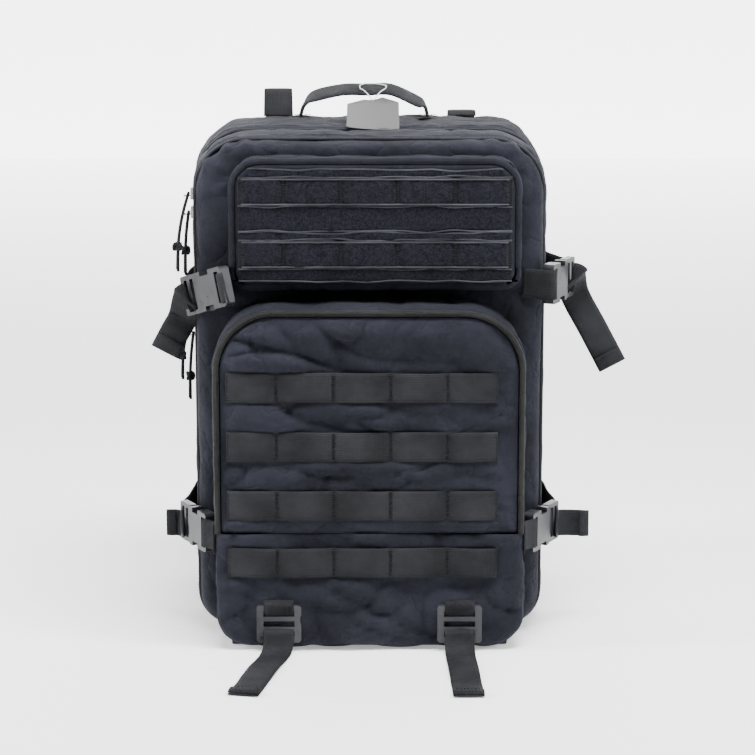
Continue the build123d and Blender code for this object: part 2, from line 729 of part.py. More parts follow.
pull_sets = {
    # place of the upper slider, x of the cords, drops of the two knots
    "mid": (side_x - panel_step + coil_proud, (mid_rim + panel_back) / 2, pack_top - 50, (44, 34)),
    "main": (side_x - mid_step + coil_proud, 0, upper_strap_z - 45, (34, 40)),
}
cord_stand = 3.4
knot_radius = 4.2
for name, (slider_x, slider_y, slider_z, drops) in pull_sets.items():
    pitches = (0, slider_gap)
    with BuildPart() as sliders:
        for pitch in pitches:
            add(slider(-slider_x - 0.2, slider_y, slider_z - pitch, -1))
    finish(sliders, f"{name}_sliders")
    knots = []
    cord_x = -slider_x - 0.2 - slider_thickness - cord_stand / 2 - 0.2
    for index, (pitch, drop) in enumerate(zip(pitches, drops)):
        shift = (-14, 5)[index]
        knot = (cord_x - (9, 4)[index], slider_y + shift, slider_z - pitch - drop)
        pull_cord(f"{name}_cord_{'ab'[index]}", (cord_x, slider_y, slider_z - pitch - 2), knot,
                  (3, 2, 19))
        knots.append(knot)
    with BuildPart() as knot_balls:
        with Locations(*knots):
            Sphere(knot_radius)
    finish(knot_balls, f"{name}_knots")
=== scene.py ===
from math import cos, pi, radians, sin, sqrt

import bmesh
import bpy
import numpy as np
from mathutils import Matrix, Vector


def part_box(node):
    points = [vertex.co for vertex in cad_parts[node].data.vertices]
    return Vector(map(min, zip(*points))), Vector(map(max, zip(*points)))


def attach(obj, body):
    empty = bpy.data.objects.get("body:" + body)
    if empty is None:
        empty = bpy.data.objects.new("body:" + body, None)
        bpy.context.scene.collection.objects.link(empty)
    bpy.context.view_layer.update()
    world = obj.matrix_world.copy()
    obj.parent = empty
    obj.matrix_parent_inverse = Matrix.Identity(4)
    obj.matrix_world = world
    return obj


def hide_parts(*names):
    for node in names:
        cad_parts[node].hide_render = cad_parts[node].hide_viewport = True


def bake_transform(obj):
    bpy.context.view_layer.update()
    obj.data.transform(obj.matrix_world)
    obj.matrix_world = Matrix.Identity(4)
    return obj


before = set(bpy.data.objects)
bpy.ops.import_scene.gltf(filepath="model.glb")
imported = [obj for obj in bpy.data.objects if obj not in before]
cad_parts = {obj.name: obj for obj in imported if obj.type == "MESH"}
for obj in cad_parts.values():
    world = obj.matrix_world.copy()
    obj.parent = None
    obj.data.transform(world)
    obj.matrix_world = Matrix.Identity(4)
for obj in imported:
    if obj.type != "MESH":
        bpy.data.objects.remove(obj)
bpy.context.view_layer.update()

MM = 0.001
X, Y, Z = (1, 0, 0), (0, 1, 0), (0, 0, 1)
SIDES = (("left", -1), ("right", 1))
SIDE_STRAPS = ("upper_left", "upper_right", "lower_left", "lower_right")
EDGE = {name: (Vector(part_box(name)[0]), Vector(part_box(name)[1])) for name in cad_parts}

LOOK_AT = Vector((0.007, -0.134, 0.2385))
CAMERA_DISTANCE = 2.07
CAMERA_ELEVATION = radians(11.5)
FOCAL_LENGTH = 118
WALL_Y = 3.6
WALL_GLOW = 3.2
FLOOR_GLOW = 0.4
FLOOR_FAR_GLOW = 2.6

WEBBING = 25.4 * MM
WEB_THICK = 1.6 * MM
ROW_PITCH = 50.8 * MM
UPPER_PITCH = 53 * MM
LOWER_TACKS = [-0.006 + 48 * MM * i for i in (-1.5, -0.5, 0.5, 1.5)]
UPPER_TACKS = [48 * MM * i for i in (-1.5, -0.5, 0.5, 1.5)]
TOP_RADIUS = 44 * MM
FOOT_RADIUS = 30 * MM
ARCH_RADIUS = 52 * MM
UPPER_RADIUS = 26 * MM


# ------------------------------------------------------------------ camera, floor and light
def make_camera():
    camera = add_object("camera", bpy.data.cameras.new("camera"))
    camera.location = LOOK_AT + CAMERA_DISTANCE * Vector((0, -cos(CAMERA_ELEVATION), sin(CAMERA_ELEVATION)))
    camera.rotation_euler = (pi / 2 - CAMERA_ELEVATION, 0, 0)
    camera.data.lens = FOCAL_LENGTH
    camera.data.clip_end = 50
    bpy.context.scene.camera = camera


def area_light(name, place, aim, size, power):
    light = add_object(name, bpy.data.lights.new(name, "AREA"))
    light.data.shape = "RECTANGLE"
    light.data.size, light.data.size_y = size
    light.data.energy = power
    light.location = place
    light.rotation_euler = (Vector(aim) - Vector(place)).to_track_quat("-Z", "Y").to_euler()


def glowing_paper(name, glow, far_glow=None):
    """White paper lit from behind, brightening towards the backdrop where far_glow is given."""
    n = Nodes(name)
    for socket, value in (("Base Color", (0.9, 0.9, 0.9, 1)), ("Roughness", 0.9),
                          ("Emission Color", (1, 1, 1, 1))):
        n.put(value, n.shader.inputs[socket])
    if far_glow is not None:
        glow = n.ramp(n.split(n.place()[0])[1], 0.5, 3.4, glow, far_glow)
        glow.node.interpolation_type = "SMOOTHSTEP"
    n.put(glow, n.shader.inputs["Emission Strength"])
    return n.material


def make_studio():
    floor = mesh_object("floor", [(-6, -4, 0), (6, -4, 0), (6, 8, 0), (-6, 8, 0)], [(0, 1, 2, 3)])
    floor.data.materials.append(glowing_paper("floor_paper", FLOOR_GLOW, FLOOR_FAR_GLOW))
    wall = mesh_object("backdrop", [(-5, WALL_Y, -0.1), (5, WALL_Y, -0.1), (5, WALL_Y, 5), (-5, WALL_Y, 5)],
                       [(0, 1, 2, 3)])
    wall.data.materials.append(glowing_paper("backdrop_paper", WALL_GLOW))
    world = bpy.data.worlds.new("studio")
    world.use_nodes = True
    world.node_tree.nodes["Background"].inputs["Color"].default_value = (1, 1, 1, 1)
    world.node_tree.nodes["Background"].inputs["Strength"].default_value = 0.1
    bpy.context.scene.world = world
    area_light("top_softbox", (0.25, -0.6, 2.0), (0, 0, 0.2), (1.3, 0.6), 105)
    area_light("left_softbox", (-1.8, -0.35, 0.9), (0, 0, 0.25), (0.4, 1.1), 50)
    area_light("right_softbox", (1.7, -0.7, 1.1), (0, 0, 0.25), (0.4, 1.0), 34)


# ------------------------------------------------------------------ materials
class Nodes:
    """A short hand for building one material's node tree."""

    def __init__(self, name):
        self.material = bpy.data.materials.new(name)
        self.material.use_nodes = True
        self.tree = self.material.node_tree
        self.shader = self.tree.nodes["Principled BSDF"]

    def put(self, value, socket):
        if isinstance(value, bpy.types.NodeSocket):
            self.tree.links.new(value, socket)
        else:
            socket.default_value = value

    def math(self, operation, a, b=0.0, c=0.0):
        node = self.tree.nodes.new("ShaderNodeMath")
        node.operation = operation
        for value, socket in zip((a, b, c), node.inputs):
            self.put(value, socket)
        return node.outputs[0]

    def noise(self, vector, scale, detail=4.0, roughness=0.55):
        node = self.tree.nodes.new("ShaderNodeTexNoise")
        node.inputs["Scale"].default_value = scale
        node.inputs["Detail"].default_value = detail
        node.inputs["Roughness"].default_value = roughness
        self.put(vector, node.inputs["Vector"])
        return node.outputs[0]

    def ramp(self, value, low, high, dark, light):
        node = self.tree.nodes.new("ShaderNodeMapRange")
        self.put(value, node.inputs["Value"])
        for socket, number in zip(("From Min", "From Max", "To Min", "To Max"), (low, high, dark, light)):
            node.inputs[socket].default_value = number
        return node.outputs[0]

    def mix_colour(self, factor, dark, light):
        node = self.tree.nodes.new("ShaderNodeMix")
        node.data_type = "RGBA"
        self.put(factor, node.inputs[0])
        for value, socket in ((dark, node.inputs[6]), (light, node.inputs[7])):
            self.put(value if isinstance(value, bpy.types.NodeSocket) else (*value, 1), socket)
        return node.outputs[2]

    def bump(self, height, distance, strength=1.0, normal=None):
        node = self.tree.nodes.new("ShaderNodeBump")
        node.inputs["Strength"].default_value = strength
        node.inputs["Distance"].default_value = distance
        self.put(height, node.inputs["Height"])
        if normal is not None:
            self.put(normal, node.inputs["Normal"])
        return node.outputs[0]

    def place(self):
        node = self.tree.nodes.new("ShaderNodeTexCoord")
        return node.outputs["Object"], node.outputs["UV"], node.outputs["Normal"]

    def split(self, vector):
        node = self.tree.nodes.new("ShaderNodeSeparateXYZ")
        self.put(vector, node.inputs[0])
        return node.outputs

    def finish(self, colour, roughness, normal, sheen=0.0, specular=0.5, metallic=0.0):
        self.put(colour, self.shader.inputs["Base Color"])
        self.put(roughness, self.shader.inputs["Roughness"])
        self.put(normal, self.shader.inputs["Normal"])
        self.shader.inputs["Sheen Weight"].default_value = sheen
        self.shader.inputs["Sheen Roughness"].default_value = 0.45
        self.shader.inputs["Specular IOR Level"].default_value = specular
        self.shader.inputs["Metallic"].default_value = metallic
        return self.material


def plain_weave(n, place, normal, pitch):
    """Height of a plain weave seen square on from whichever way the surface faces."""
    x, y, z = (n.math("SINE", n.math("MULTIPLY", axis, 2 * pi / pitch)) for axis in n.split(place))
    nx, ny, nz = (n.math("POWER", n.math("ABSOLUTE", axis), 2.0) for axis in n.split(normal))
    heights = [n.math("MULTIPLY", n.math("MULTIPLY", first, second), weight)
               for first, second, weight in ((x, z, ny), (y, z, nx), (x, y, nz))]
    return n.math("ADD", n.math("ADD", heights[0], heights[1]), heights[2])


def cloth_material(name, dark, light, pitch=1.1 * MM, roughness=0.72, sheen=0.015, wear=0.5):
    """Coarse nylon cloth: plain weave, uneven dye, soft slub, and painted shade in the weave's hollows with
    painted highlight on its crowns.
    """
    n = Nodes(name)
    place, _, normal = n.place()
    weave = plain_weave(n, place, normal, pitch)
    cloud = n.noise(place, 14, 5)
    slub = n.noise(place, 420, 2)
    tone = n.math("ADD", n.math("MULTIPLY", cloud, 0.75), n.math("MULTIPLY", slub, 0.25))
    colour = n.mix_colour(n.ramp(tone, 0.32, 0.68, 0.0, 1.0), dark, light)
    # painted shade and highlight: the colour is darkened in the weave's hollows and lightened on its crowns
    thread = n.ramp(weave, -1, 1, 0.55, 1.18)
    shade = n.tree.nodes.new("ShaderNodeMix")
    shade.data_type = "RGBA"
    shade.blend_type = "MULTIPLY"
    shade.inputs[0].default_value = 0.55
    n.put(colour, shade.inputs[6])
    n.put(thread, shade.inputs[7])
    rough = n.ramp(n.noise(place, 60, 3), 0.3, 0.7, roughness - 0.1, roughness + 0.1 * wear)
    fine = n.bump(weave, 0.3 * MM, 0.7)
    crumple = n.math("ABSOLUTE", n.math("SUBTRACT", n.noise(place, 24, 3, 0.5), 0.5))
    crushed = n.bump(n.math("POWER", crumple, 0.6), 9 * MM, 0.6, fine)
    soft = n.bump(n.noise(place, 170, 4), 0.9 * MM, 0.35, crushed)
    return n.finish(shade.outputs[2], rough, soft, sheen, 0.09)


def webbing_material(name, dark, light, rib=1.5 * MM):
    """Nylon webbing, from the strip's own length and width: fine ribs across a herringbone."""
    n = Nodes(name)
    place, uv, _ = n.place()
    along, across, _ = n.split(uv)
    ribs = n.math("SINE", n.math("MULTIPLY", across, 2 * pi / rib))
    picks = n.math("SINE", n.math("ADD", n.math("MULTIPLY", along, 2 * pi / (1.3 * MM)),
                                  n.math("MULTIPLY", ribs, 1.2)))
    height = n.math("ADD", n.math("MULTIPLY", ribs, 0.6), n.math("MULTIPLY", picks, 0.5))
    # the ribs' height lightens their crowns a little: painted highlight and shade on the rib relief
    tone = n.math("ADD", n.noise(place, 22, 4), n.math("MULTIPLY", height, 0.07))
    colour = n.mix_colour(n.ramp(tone, 0.35, 0.68, 0.0, 1.0), dark, light)
    rough = n.ramp(n.noise(place, 90, 2), 0.3, 0.7, 0.58, 0.78)
    return n.finish(colour, rough, n.bump(height, 0.3 * MM, 0.7), 0.015, 0.1)


def plastic_material(name, dark, light, roughness=0.42):
    """Moulded acetal: faint texture, paler in patches and along its sharp convex edges."""
    n = Nodes(name)
    place, _, _ = n.place()
    grain = n.noise(place, 900, 3)
    rub = n.noise(place, 130, 5)
    geometry = n.tree.nodes.new("ShaderNodeNewGeometry")
    # paler along sharp convex edges, found from the mesh's pointiness; flat faces and hollows stay darker
    edge = n.ramp(geometry.outputs["Pointiness"], 0.5, 0.56, 0.0, 1.0)
    tone = n.math("MULTIPLY", n.ramp(rub, 0.35, 0.65, 0.2, 1.0), n.math("ADD", edge, 0.45))
    colour = n.mix_colour(tone, dark, light)
    rough = n.ramp(rub, 0.3, 0.7, roughness - 0.07, roughness + 0.12)
    return n.finish(colour, rough, n.bump(grain, 0.12 * MM, 0.35), 0.0, 0.45)


def metal_material(name):
    n = Nodes(name)
    place, _, _ = n.place()
    scratch = n.noise(place, 700, 6, 0.7)
    colour = n.mix_colour(n.ramp(scratch, 0.35, 0.7, 0.0, 1.0), (0.2, 0.2, 0.21), (0.62, 0.62, 0.62))
    return n.finish(colour, n.ramp(scratch, 0.3, 0.7, 0.24, 0.5), n.bump(scratch, 0.1 * MM, 0.3), 0, 0.5, 1.0)


def pile_material(name, dark, light):
    """Loop pile: a dense felt of tiny hooks' worth of loops."""
    n = Nodes(name)
    place, _, _ = n.place()
    loops = n.noise(place, 900, 2, 0.8)
    clumps = n.noise(place, 330, 4, 0.7)
    height = n.math("ADD", loops, n.math("MULTIPLY", clumps, 0.8))
    colour = n.mix_colour(n.ramp(height, 0.7, 1.15, 0.0, 1.0), dark, light)
    return n.finish(colour, 0.95, n.bump(height, 1.6 * MM, 1.0), 0.03, 0.08)


def cord_material(name, dark, light, twist=2.2 * MM):
    """Braided cord: crossing diagonal strands."""
    n = Nodes(name)
    place, _, _ = n.place()
    x, y, z = n.split(place)
    side = n.math("ADD", x, y)
    left = n.math("SINE", n.math("MULTIPLY", n.math("ADD", z, side), 2 * pi / twist))
    right = n.math("SINE", n.math("MULTIPLY", n.math("SUBTRACT", z, side), 2 * pi / twist))
    height = n.math("MAXIMUM", left, right)
    # the strands' height lightens their crowns: painted highlight and shade on the braid
    tone = n.math("ADD", n.math("MULTIPLY", height, 0.2), n.noise(place, 200, 3))
    colour = n.mix_colour(n.ramp(tone, 0.35, 0.75, 0.0, 1.0), dark, light)
    return n.finish(colour, 0.8, n.bump(height, 0.25 * MM, 0.7), 0.01, 0.08)


def card_material(name):
    n = Nodes(name)
    place, _, _ = n.place()
    fibre = n.noise(place, 500, 4, 0.7)
    colour = n.mix_colour(n.ramp(fibre, 0.3, 0.7, 0.0, 1.0), (0.05, 0.05, 0.052), (0.068, 0.068, 0.07))
    return n.finish(colour, n.ramp(fibre, 0.3, 0.7, 0.4, 0.55), n.bump(fibre, 0.05 * MM, 0.3))


def thread_material(name, dark, light):
    """Fuzzy sewing thread."""
    n = Nodes(name)
    place, _, _ = n.place()
    fuzz = n.noise(place, 1800, 2)
    return n.finish(n.mix_colour(n.ramp(fuzz, 0.3, 0.7, 0.0, 1.0), dark, light), 0.7,
                    n.bump(fuzz, 0.1 * MM, 0.4), 0.02, 0.1)


def make_materials():
    return {
        "cloth": cloth_material("pack_cloth", (0.007, 0.0074, 0.0118), (0.02, 0.0213, 0.031)),
        "base": cloth_material("base_cloth", (0.014, 0.014, 0.018), (0.03, 0.031, 0.036), 1.6 * MM),
        "mesh": cloth_material("spacer_mesh", (0.012, 0.012, 0.014), (0.035, 0.036, 0.04), 2.6 * MM, 0.85,
                               0.4),
        "webbing": webbing_material("webbing", (0.008, 0.0083, 0.0098), (0.021, 0.0215, 0.0245)),
        "tape": webbing_material("selvage_tape", (0.018, 0.019, 0.024), (0.05, 0.052, 0.062), 1.0 * MM),
        "binding": cloth_material("binding_tape", (0.014, 0.015, 0.02), (0.036, 0.037, 0.045), 0.9 * MM, 0.65),
        "pile": pile_material("loop_pile", (0.0025, 0.0026, 0.0042), (0.018, 0.019, 0.027)),
        "zip_black": cloth_material("zip_black", (0.008, 0.008, 0.01), (0.02, 0.02, 0.024), 0.8 * MM, 0.5),
        "zip_grey": cloth_material("zip_grey", (0.0095, 0.01, 0.0098), (0.022, 0.0225, 0.0215), 0.8 * MM, 0.5),
        "thread": thread_material("thread", (0.006, 0.006, 0.0075), (0.014, 0.014, 0.017)),
        "plastic": plastic_material("buckle_plastic", (0.007, 0.007, 0.009), (0.02, 0.02, 0.025), 0.33),
        "metal": metal_material("slider_metal"),
        "cord": cord_material("pull_cord", (0.005, 0.005, 0.006), (0.02, 0.02, 0.022)),
        "card": card_material("tag_card"),
        "string": cord_material("tag_string", (0.55, 0.54, 0.5), (0.85, 0.84, 0.8), 0.9 * MM),
    }


# ------------------------------------------------------------------ mesh helpers
def add_object(name, data):
    thing = bpy.data.objects.new(name, data)
    bpy.context.scene.collection.objects.link(thing)
    return thing


def mesh_object(name, verts, faces, uvs=None):
    mesh = bpy.data.meshes.new(name)
    mesh.from_pydata([tuple(v) for v in verts], [], faces)
    if uvs is not None:
        layer = mesh.uv_layers.new(name="UVMap")
        for loop in mesh.loops:
            layer.data[loop.index].uv = uvs[loop.vertex_index]
    mesh.update()
    return add_object(name, mesh)


def smooth_faces(piece):
    for polygon in piece.data.polygons:
        polygon.use_smooth = True


def settle(piece, body, material, replaced=()):
    """Everything a finished piece needs: smooth faces, material, body and the nodes it stands for."""
    if piece.type == "MESH":
        smooth_faces(piece)
    piece.data.materials.clear()
    piece.data.materials.append(material)
    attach(piece, body)
    if replaced:
        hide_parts(*replaced)
    return piece


def apply_modifiers(piece):
    graph = bpy.context.evaluated_depsgraph_get()
    mesh = bpy.data.meshes.new_from_object(piece.evaluated_get(graph))
    piece.modifiers.clear()
    old = piece.data
    piece.data = mesh
    bpy.data.meshes.remove(old)


def solidify(piece, name, thickness):
    """Give a sheet its thickness, inwards."""
    solid = piece.modifiers.new(name, "SOLIDIFY")
    solid.thickness = thickness
    solid.offset = -1
    apply_modifiers(piece)


def recalculate_normals(piece):
    bm = bmesh.new()
    bm.from_mesh(piece.data)
    bmesh.ops.recalc_face_normals(bm, faces=bm.faces)
    bm.to_mesh(piece.data)
    bm.free()


def get_points(piece, what="co"):
    co = np.zeros(len(piece.data.vertices) * 3)
    piece.data.vertices.foreach_get(what, co)
    return co.reshape(-1, 3)


def set_points(piece, co):
    piece.data.vertices.foreach_set("co", co.ravel())
    piece.data.update()


def unit(vectors):
    """Rows of an array at length 1."""
    return vectors / np.maximum(np.linalg.norm(vectors, axis=1), 1e-9)[:, None]


def soft_noise(points, size, seed, waves=26, stretch=(1, 1, 1)):
    """Smooth noise of about -1 to 1 whose lumps are about size across, longer along the stretched axes."""
    rng = np.random.default_rng(seed)
    direction = rng.normal(size=(waves, 3))
    direction /= np.linalg.norm(direction, axis=1)[:, None]
    direction *= (2 * pi / size) * rng.uniform(0.4, 1.3, (waves, 1))
    direction /= np.array(stretch)
    phase = rng.uniform(0, 2 * pi, waves)
    return np.cos(points @ direction.T + phase).sum(axis=1) / sqrt(waves)


def folds(points, size, seed, stretch=(1, 1, 1)):
    """Rounded ridges with narrow valleys, about -1 to 1, bent by a second noise as cloth folds are."""
    bend = np.stack([soft_noise(points, size * 2.2, seed + 50 + k) for k in range(3)], axis=1) * size * 0.22
    wave = soft_noise(points + bend, size * 1.5, seed, 14, stretch)
    return 1 - 2 * np.exp(-np.abs(wave) * 2.2)


def corner_distance(x, z, half, bottom, top, foot_radius, top_radius):
    """Distance inside a rounded outline, and the outward direction there."""
    middle = (bottom + top) / 2
    radius = np.where(z > middle, top_radius, foot_radius)
    qx = np.abs(x) - (half - radius)
    qz = np.abs(z - middle) - ((top - bottom) / 2 - radius)
    corner = (qx > 0) & (qz > 0)
    length = np.hypot(np.maximum(qx, 0), np.maximum(qz, 0))
    outside = np.where(corner, length, np.maximum(qx, qz)) - radius
    safe = np.maximum(length, 1e-9)
    nx = np.where(corner, np.maximum(qx, 0) / safe, (qx >= qz) * 1.0) * np.sign(x)
    nz = np.where(corner, np.maximum(qz, 0) / safe, (qx < qz) * 1.0) * np.sign(z - middle)
    return -outside, nx, nz


def pouch(name, low, high, foot_radius, top_radius, front_rim, back_rim, spacing=5 * MM, relief=None):
    """A rounded, stuffed block as one even grid: outline corners first, then both rims.

    relief(points, inside, depth) gives how far each point stands out along its own normal.
    """
    low, high = Vector(low), Vector(high)
    size = high - low
    steps = [max(2, round(axis / spacing)) for axis in size]
    bm = bmesh.new()
    for axis in range(3):
        u, v = [i for i in range(3) if i != axis]
        for end in (0, 1):
            rows = []
            for i in range(steps[u] + 1):
                row = []
                for j in range(steps[v] + 1):
                    place = Vector(low)
                    place[u] += size[u] * i / steps[u]
                    place[v] += size[v] * j / steps[v]
                    place[axis] += size[axis] * end
                    row.append(bm.verts.new(place))
                rows.append(row)
            for row, after in zip(rows, rows[1:]):
                for j in range(steps[v]):
                    bm.faces.new((row[j], after[j], after[j + 1], row[j + 1]))
    bmesh.ops.remove_doubles(bm, verts=bm.verts, dist=1e-6)
    bmesh.ops.recalc_face_normals(bm, faces=bm.faces)
    mesh = bpy.data.meshes.new(name)
    bm.to_mesh(mesh)
    bm.free()
    piece = add_object(name, mesh)

    co = get_points(piece)
    centre, half, middle = (low.x + high.x) / 2, size.x / 2, (low.z + high.z) / 2
    x, y, z = co[:, 0] - centre, co[:, 1].copy(), co[:, 2].copy()
    radius = np.where(z > middle, top_radius, foot_radius)
    qx = np.abs(x) - (half - radius)
    qz = np.abs(z - middle) - (size.z / 2 - radius)
    corner = (qx > 0) & (qz > 0)
    squeeze = np.where(corner, np.maximum(qx, qz) / np.maximum(np.hypot(qx, qz), 1e-9), 1.0)
    x = np.where(corner, np.sign(x) * (half - radius + qx * squeeze), x)
    z = np.where(corner, middle + np.sign(z - middle) * (size.z / 2 - radius + qz * squeeze), z)

    inside, nx, nz = corner_distance(x, z, half, low.z, high.z, foot_radius, top_radius)
    shift_out, shift_y = np.zeros_like(x), np.zeros_like(x)
    for rim, plane, sign in ((front_rim, low.y, 1), (back_rim, high.y, -1)):
        depth = (y - plane) * sign
        near = (inside < rim) & (depth < rim)
        a, b = rim - inside, rim - depth
        scale = np.maximum(a, b) / np.maximum(np.hypot(a, b), 1e-9)
        shift_out += np.where(near, a * scale - a, 0)
        shift_y += np.where(near, sign * (b - b * scale), 0)
    y += shift_y
    co = np.stack([x + nx * shift_out + centre, y, z + nz * shift_out], axis=1)
    set_points(piece, co)
    if relief:
        co = co + get_points(piece, "normal") * relief(co, inside, (y - low.y) / size.y)[:, None]
        set_points(piece, co)
    return piece


def smooth_path(points, step=3 * MM):
    """Catmull-Rom line through the points, at even steps."""
    pts = [np.array(p, float) for p in points]
    pts = [2 * pts[0] - pts[1]] + pts + [2 * pts[-1] - pts[-2]]
    line = []
    for a, b, c, d in zip(pts, pts[1:], pts[2:], pts[3:]):
        count = max(2, int(np.linalg.norm(c - b) / step * 1.3) + 1)
        for i in range(count):
            t = i / count
            line.append(0.5 * (2 * b + (c - a) * t + (2 * a - 5 * b + 4 * c - d) * t * t
                               + (3 * b - a - 3 * c + d) * t ** 3))
    return np.array(line + [pts[-2]])


def tube_faces(count, ring, closed=False):
    """Faces of a tube of count rings of ring points, capped unless its two ends meet."""
    faces = []
    for i in range(count if closed else count - 1):
        ahead = ring if i < count - 1 else -i * ring
        for k in range(ring):
            a, b = i * ring + k, i * ring + (k + 1) % ring
            faces.append((a, b, b + ahead, a + ahead))
    if not closed:
        faces += [tuple(range(ring))[::-1], tuple(range((count - 1) * ring, count * ring))]
    return faces


def block_faces(first):
    """Faces of a small block of three rings of four points, from its first point on."""
    return [tuple(first + k for k in face) for face in tube_faces(3, 4)]


def ribbon(name, points, across, width=WEBBING, thickness=WEB_THICK, step=3 * MM, wave=0.0, seed=1):
    """Flat webbing along a line. across gives the width's direction at each point (or one for all)."""
    if isinstance(across[0], (int, float)):
        across = [across] * len(points)
    both = smooth_path([(*p, *a) for p, a in zip(points, across)], step)
    line, way = both[:, :3], both[:, 3:]
    forward = unit(np.gradient(line, axis=0))
    way = unit(way - (way * forward).sum(axis=1)[:, None] * forward)
    face = np.cross(forward, way)
    if wave:
        line = line + face * (soft_noise(line, 40 * MM, seed) * wave)[:, None]
    skin = [(c, thickness / 2 * (1 - 0.55 * abs(c) ** 6)) for c in np.linspace(-1, 1, 9)]
    profile = [(c * width / 2, h) for c, h in skin] + [(c * width / 2, -h) for c, h in reversed(skin)]
    run = np.concatenate([[0], np.cumsum(np.linalg.norm(np.diff(line, axis=0), axis=1))])
    verts = [place + side * by_width + up * by_face
             for place, side, up in zip(line, way, face) for by_width, by_face in profile]
    uvs = [(distance, by_width) for distance in run for by_width, _ in profile]
    return mesh_object(name, verts, tube_faces(len(line), len(profile)), uvs)


def swept(name, line, section, out, closed=True):
    """A profile carried along a line; out gives each point's outward direction, y is the other axis."""
    verts = [place + away * by_out + np.array((0, by_y, 0))
             for place, away in zip(line, out) for by_out, by_y in section]
    piece = mesh_object(name, verts, tube_faces(len(line), len(section), closed))
    recalculate_normals(piece)
    return piece


def outline(low, high, foot_radius, top_radius, step=3 * MM, open_below=None, inset=0.0):
    """Points and outward directions round an upright rounded outline at y = 0, from low to high (x, z).

    With open_below it leaves out what is lower than that height, and runs from left to right."""
    x0, z0, x1, z1 = low[0] + inset, low[1] + inset, high[0] - inset, high[1] - inset
    top, foot = top_radius - inset, max(foot_radius - inset, 0.001)
    places, ways = [], []

    def side(a, b, way):
        count = max(2, int(np.hypot(b[0] - a[0], b[1] - a[1]) / step))
        for i in range(count):
            places.append((a[0] + (b[0] - a[0]) * i / count, 0, a[1] + (b[1] - a[1]) * i / count))
            ways.append((way[0], 0, way[1]))

    def corner(centre, radius, start):
        count = max(6, int(radius * pi / 2 / step))
        for i in range(count):
            angle = start - pi / 2 * i / count
            places.append((centre[0] + radius * cos(angle), 0, centre[1] + radius * sin(angle)))
            ways.append((cos(angle), 0, sin(angle)))

    left_foot = z0 + foot if open_below is None else open_below
    side((x0, left_foot), (x0, z1 - top), (-1, 0))
    corner((x0 + top, z1 - top), top, pi)
    side((x0 + top, z1), (x1 - top, z1), (0, 1))
    corner((x1 - top, z1 - top), top, pi / 2)
    side((x1, z1 - top), (x1, left_foot), (1, 0))
    if open_below is None:
        corner((x1 - foot, z0 + foot), foot, 0)
        side((x1 - foot, z0), (x0 + foot, z0), (0, -1))
        corner((x0 + foot, z0 + foot), foot, -pi / 2)
    else:
        places.append((x1, 0, left_foot))
        ways.append((1, 0, 0))
    return np.array(places), np.array(ways)


def round_section(radius, count=10):
    return [(radius * cos(2 * pi * k / count), radius * sin(2 * pi * k / count)) for k in range(count)]


def stitching(name, lines, out, length=2.6 * MM, gap=1.5 * MM, radius=0.35 * MM):
    """Rows of short thread dashes just proud of the surface. Each line is a list of points."""
    verts, faces = [], []
    up = np.array(out, float)
    for line in lines:
        line = np.array([tuple(p) for p in line], float)
        steps = np.linalg.norm(np.diff(line, axis=0), axis=1)
        run = np.concatenate([[0], np.cumsum(steps)])
        where = 0.0
        while where + length < run[-1]:
            ends = []
            for at in (where, where + length):
                i = min(int(np.searchsorted(run, at, side="right")) - 1, len(line) - 2)
                ends.append(line[i] + (line[i + 1] - line[i]) * (at - run[i]) / max(steps[i], 1e-9))
            side = unit(np.cross(unit((ends[1] - ends[0])[None]), out))[0]
            faces += block_faces(len(verts))
            for place, grow in ((ends[0], 0.35), ((ends[0] + ends[1]) / 2, 1.0), (ends[1], 0.35)):
                for a, b in ((-1, 0), (0, 1), (1, 0), (0, -1)):
                    verts.append(place + side * radius * a * grow + up * radius * b * grow)
            where += length + gap
    return mesh_object(name, verts, faces)


def web(name, points, across, m, body="pack", nodes=(), width=WEBBING, thickness=WEB_THICK, wave=0.0, seed=1):
    """A finished length of webbing."""
    strip = ribbon(name, points, across, width, thickness, wave=wave, seed=seed)
    return settle(strip, body, m["webbing"], nodes)


# ------------------------------------------------------------------ compartments and zips
def tub_relief(seed, puff, fold, ridge=0.0):
    """Stuffed cloth: crowned walls, broad lumps and a few creases that die out at the seams."""
    def relief(co, inside, depth):
        wall = np.sin(pi * np.clip(depth, 0, 1))
        face = 1 - np.exp(-np.maximum(inside, 0) / (26 * MM))
        free = np.maximum(wall, face)
        lumps = (folds(co, 90 * MM, seed, (1, 1.4, 0.8)) * 0.8
                 + folds(co, 38 * MM, seed + 1, (1, 1.6, 1)) * 0.35)
        gathers = folds(co, 22 * MM, seed + 3, (1, 3, 1)) * np.exp(-np.abs(inside) / (16 * MM))
        return puff * free + fold * lumps * (0.35 + 0.65 * free) + ridge * gathers
    return relief


def front_panel_relief(co, inside, depth):
    """The front of the second compartment: puffed rim, dented where the straps and pockets pull."""
    pocket_top = EDGE["upper_pocket"][1].z
    x, z = np.abs(co[:, 0]), co[:, 2]
    face = 1 - np.exp(-np.maximum(inside, 0) / (20 * MM))
    front = np.clip(1.3 - depth * 2, 0, 1)
    wide = folds(co, 60 * MM, 33, (0.8, 1, 1.8)) * 1.4
    corner = np.hypot(x - 118 * MM, z - pocket_top + 4 * MM)
    near = np.exp(-(corner / (30 * MM)) ** 2)
    turn = np.arctan2(z - pocket_top + 14 * MM, x - 104 * MM)
    pucker = near * (np.sin(turn * 9) * 1.6 + folds(co, 16 * MM, 34, (1, 1, 1.4)) * 1.3)
    pull = np.exp(-((z - 300 * MM) / (16 * MM)) ** 2) * folds(co, 24 * MM, 35, (2.4, 1, 0.6)) * 2.2
    brow = 3.2 * np.exp(-((z - pocket_top - 5 * MM) / (6 * MM)) ** 2) * front
    return MM * (1.2 * face * front + wide * (0.5 + 0.5 * face) + pucker + pull * front + brow)


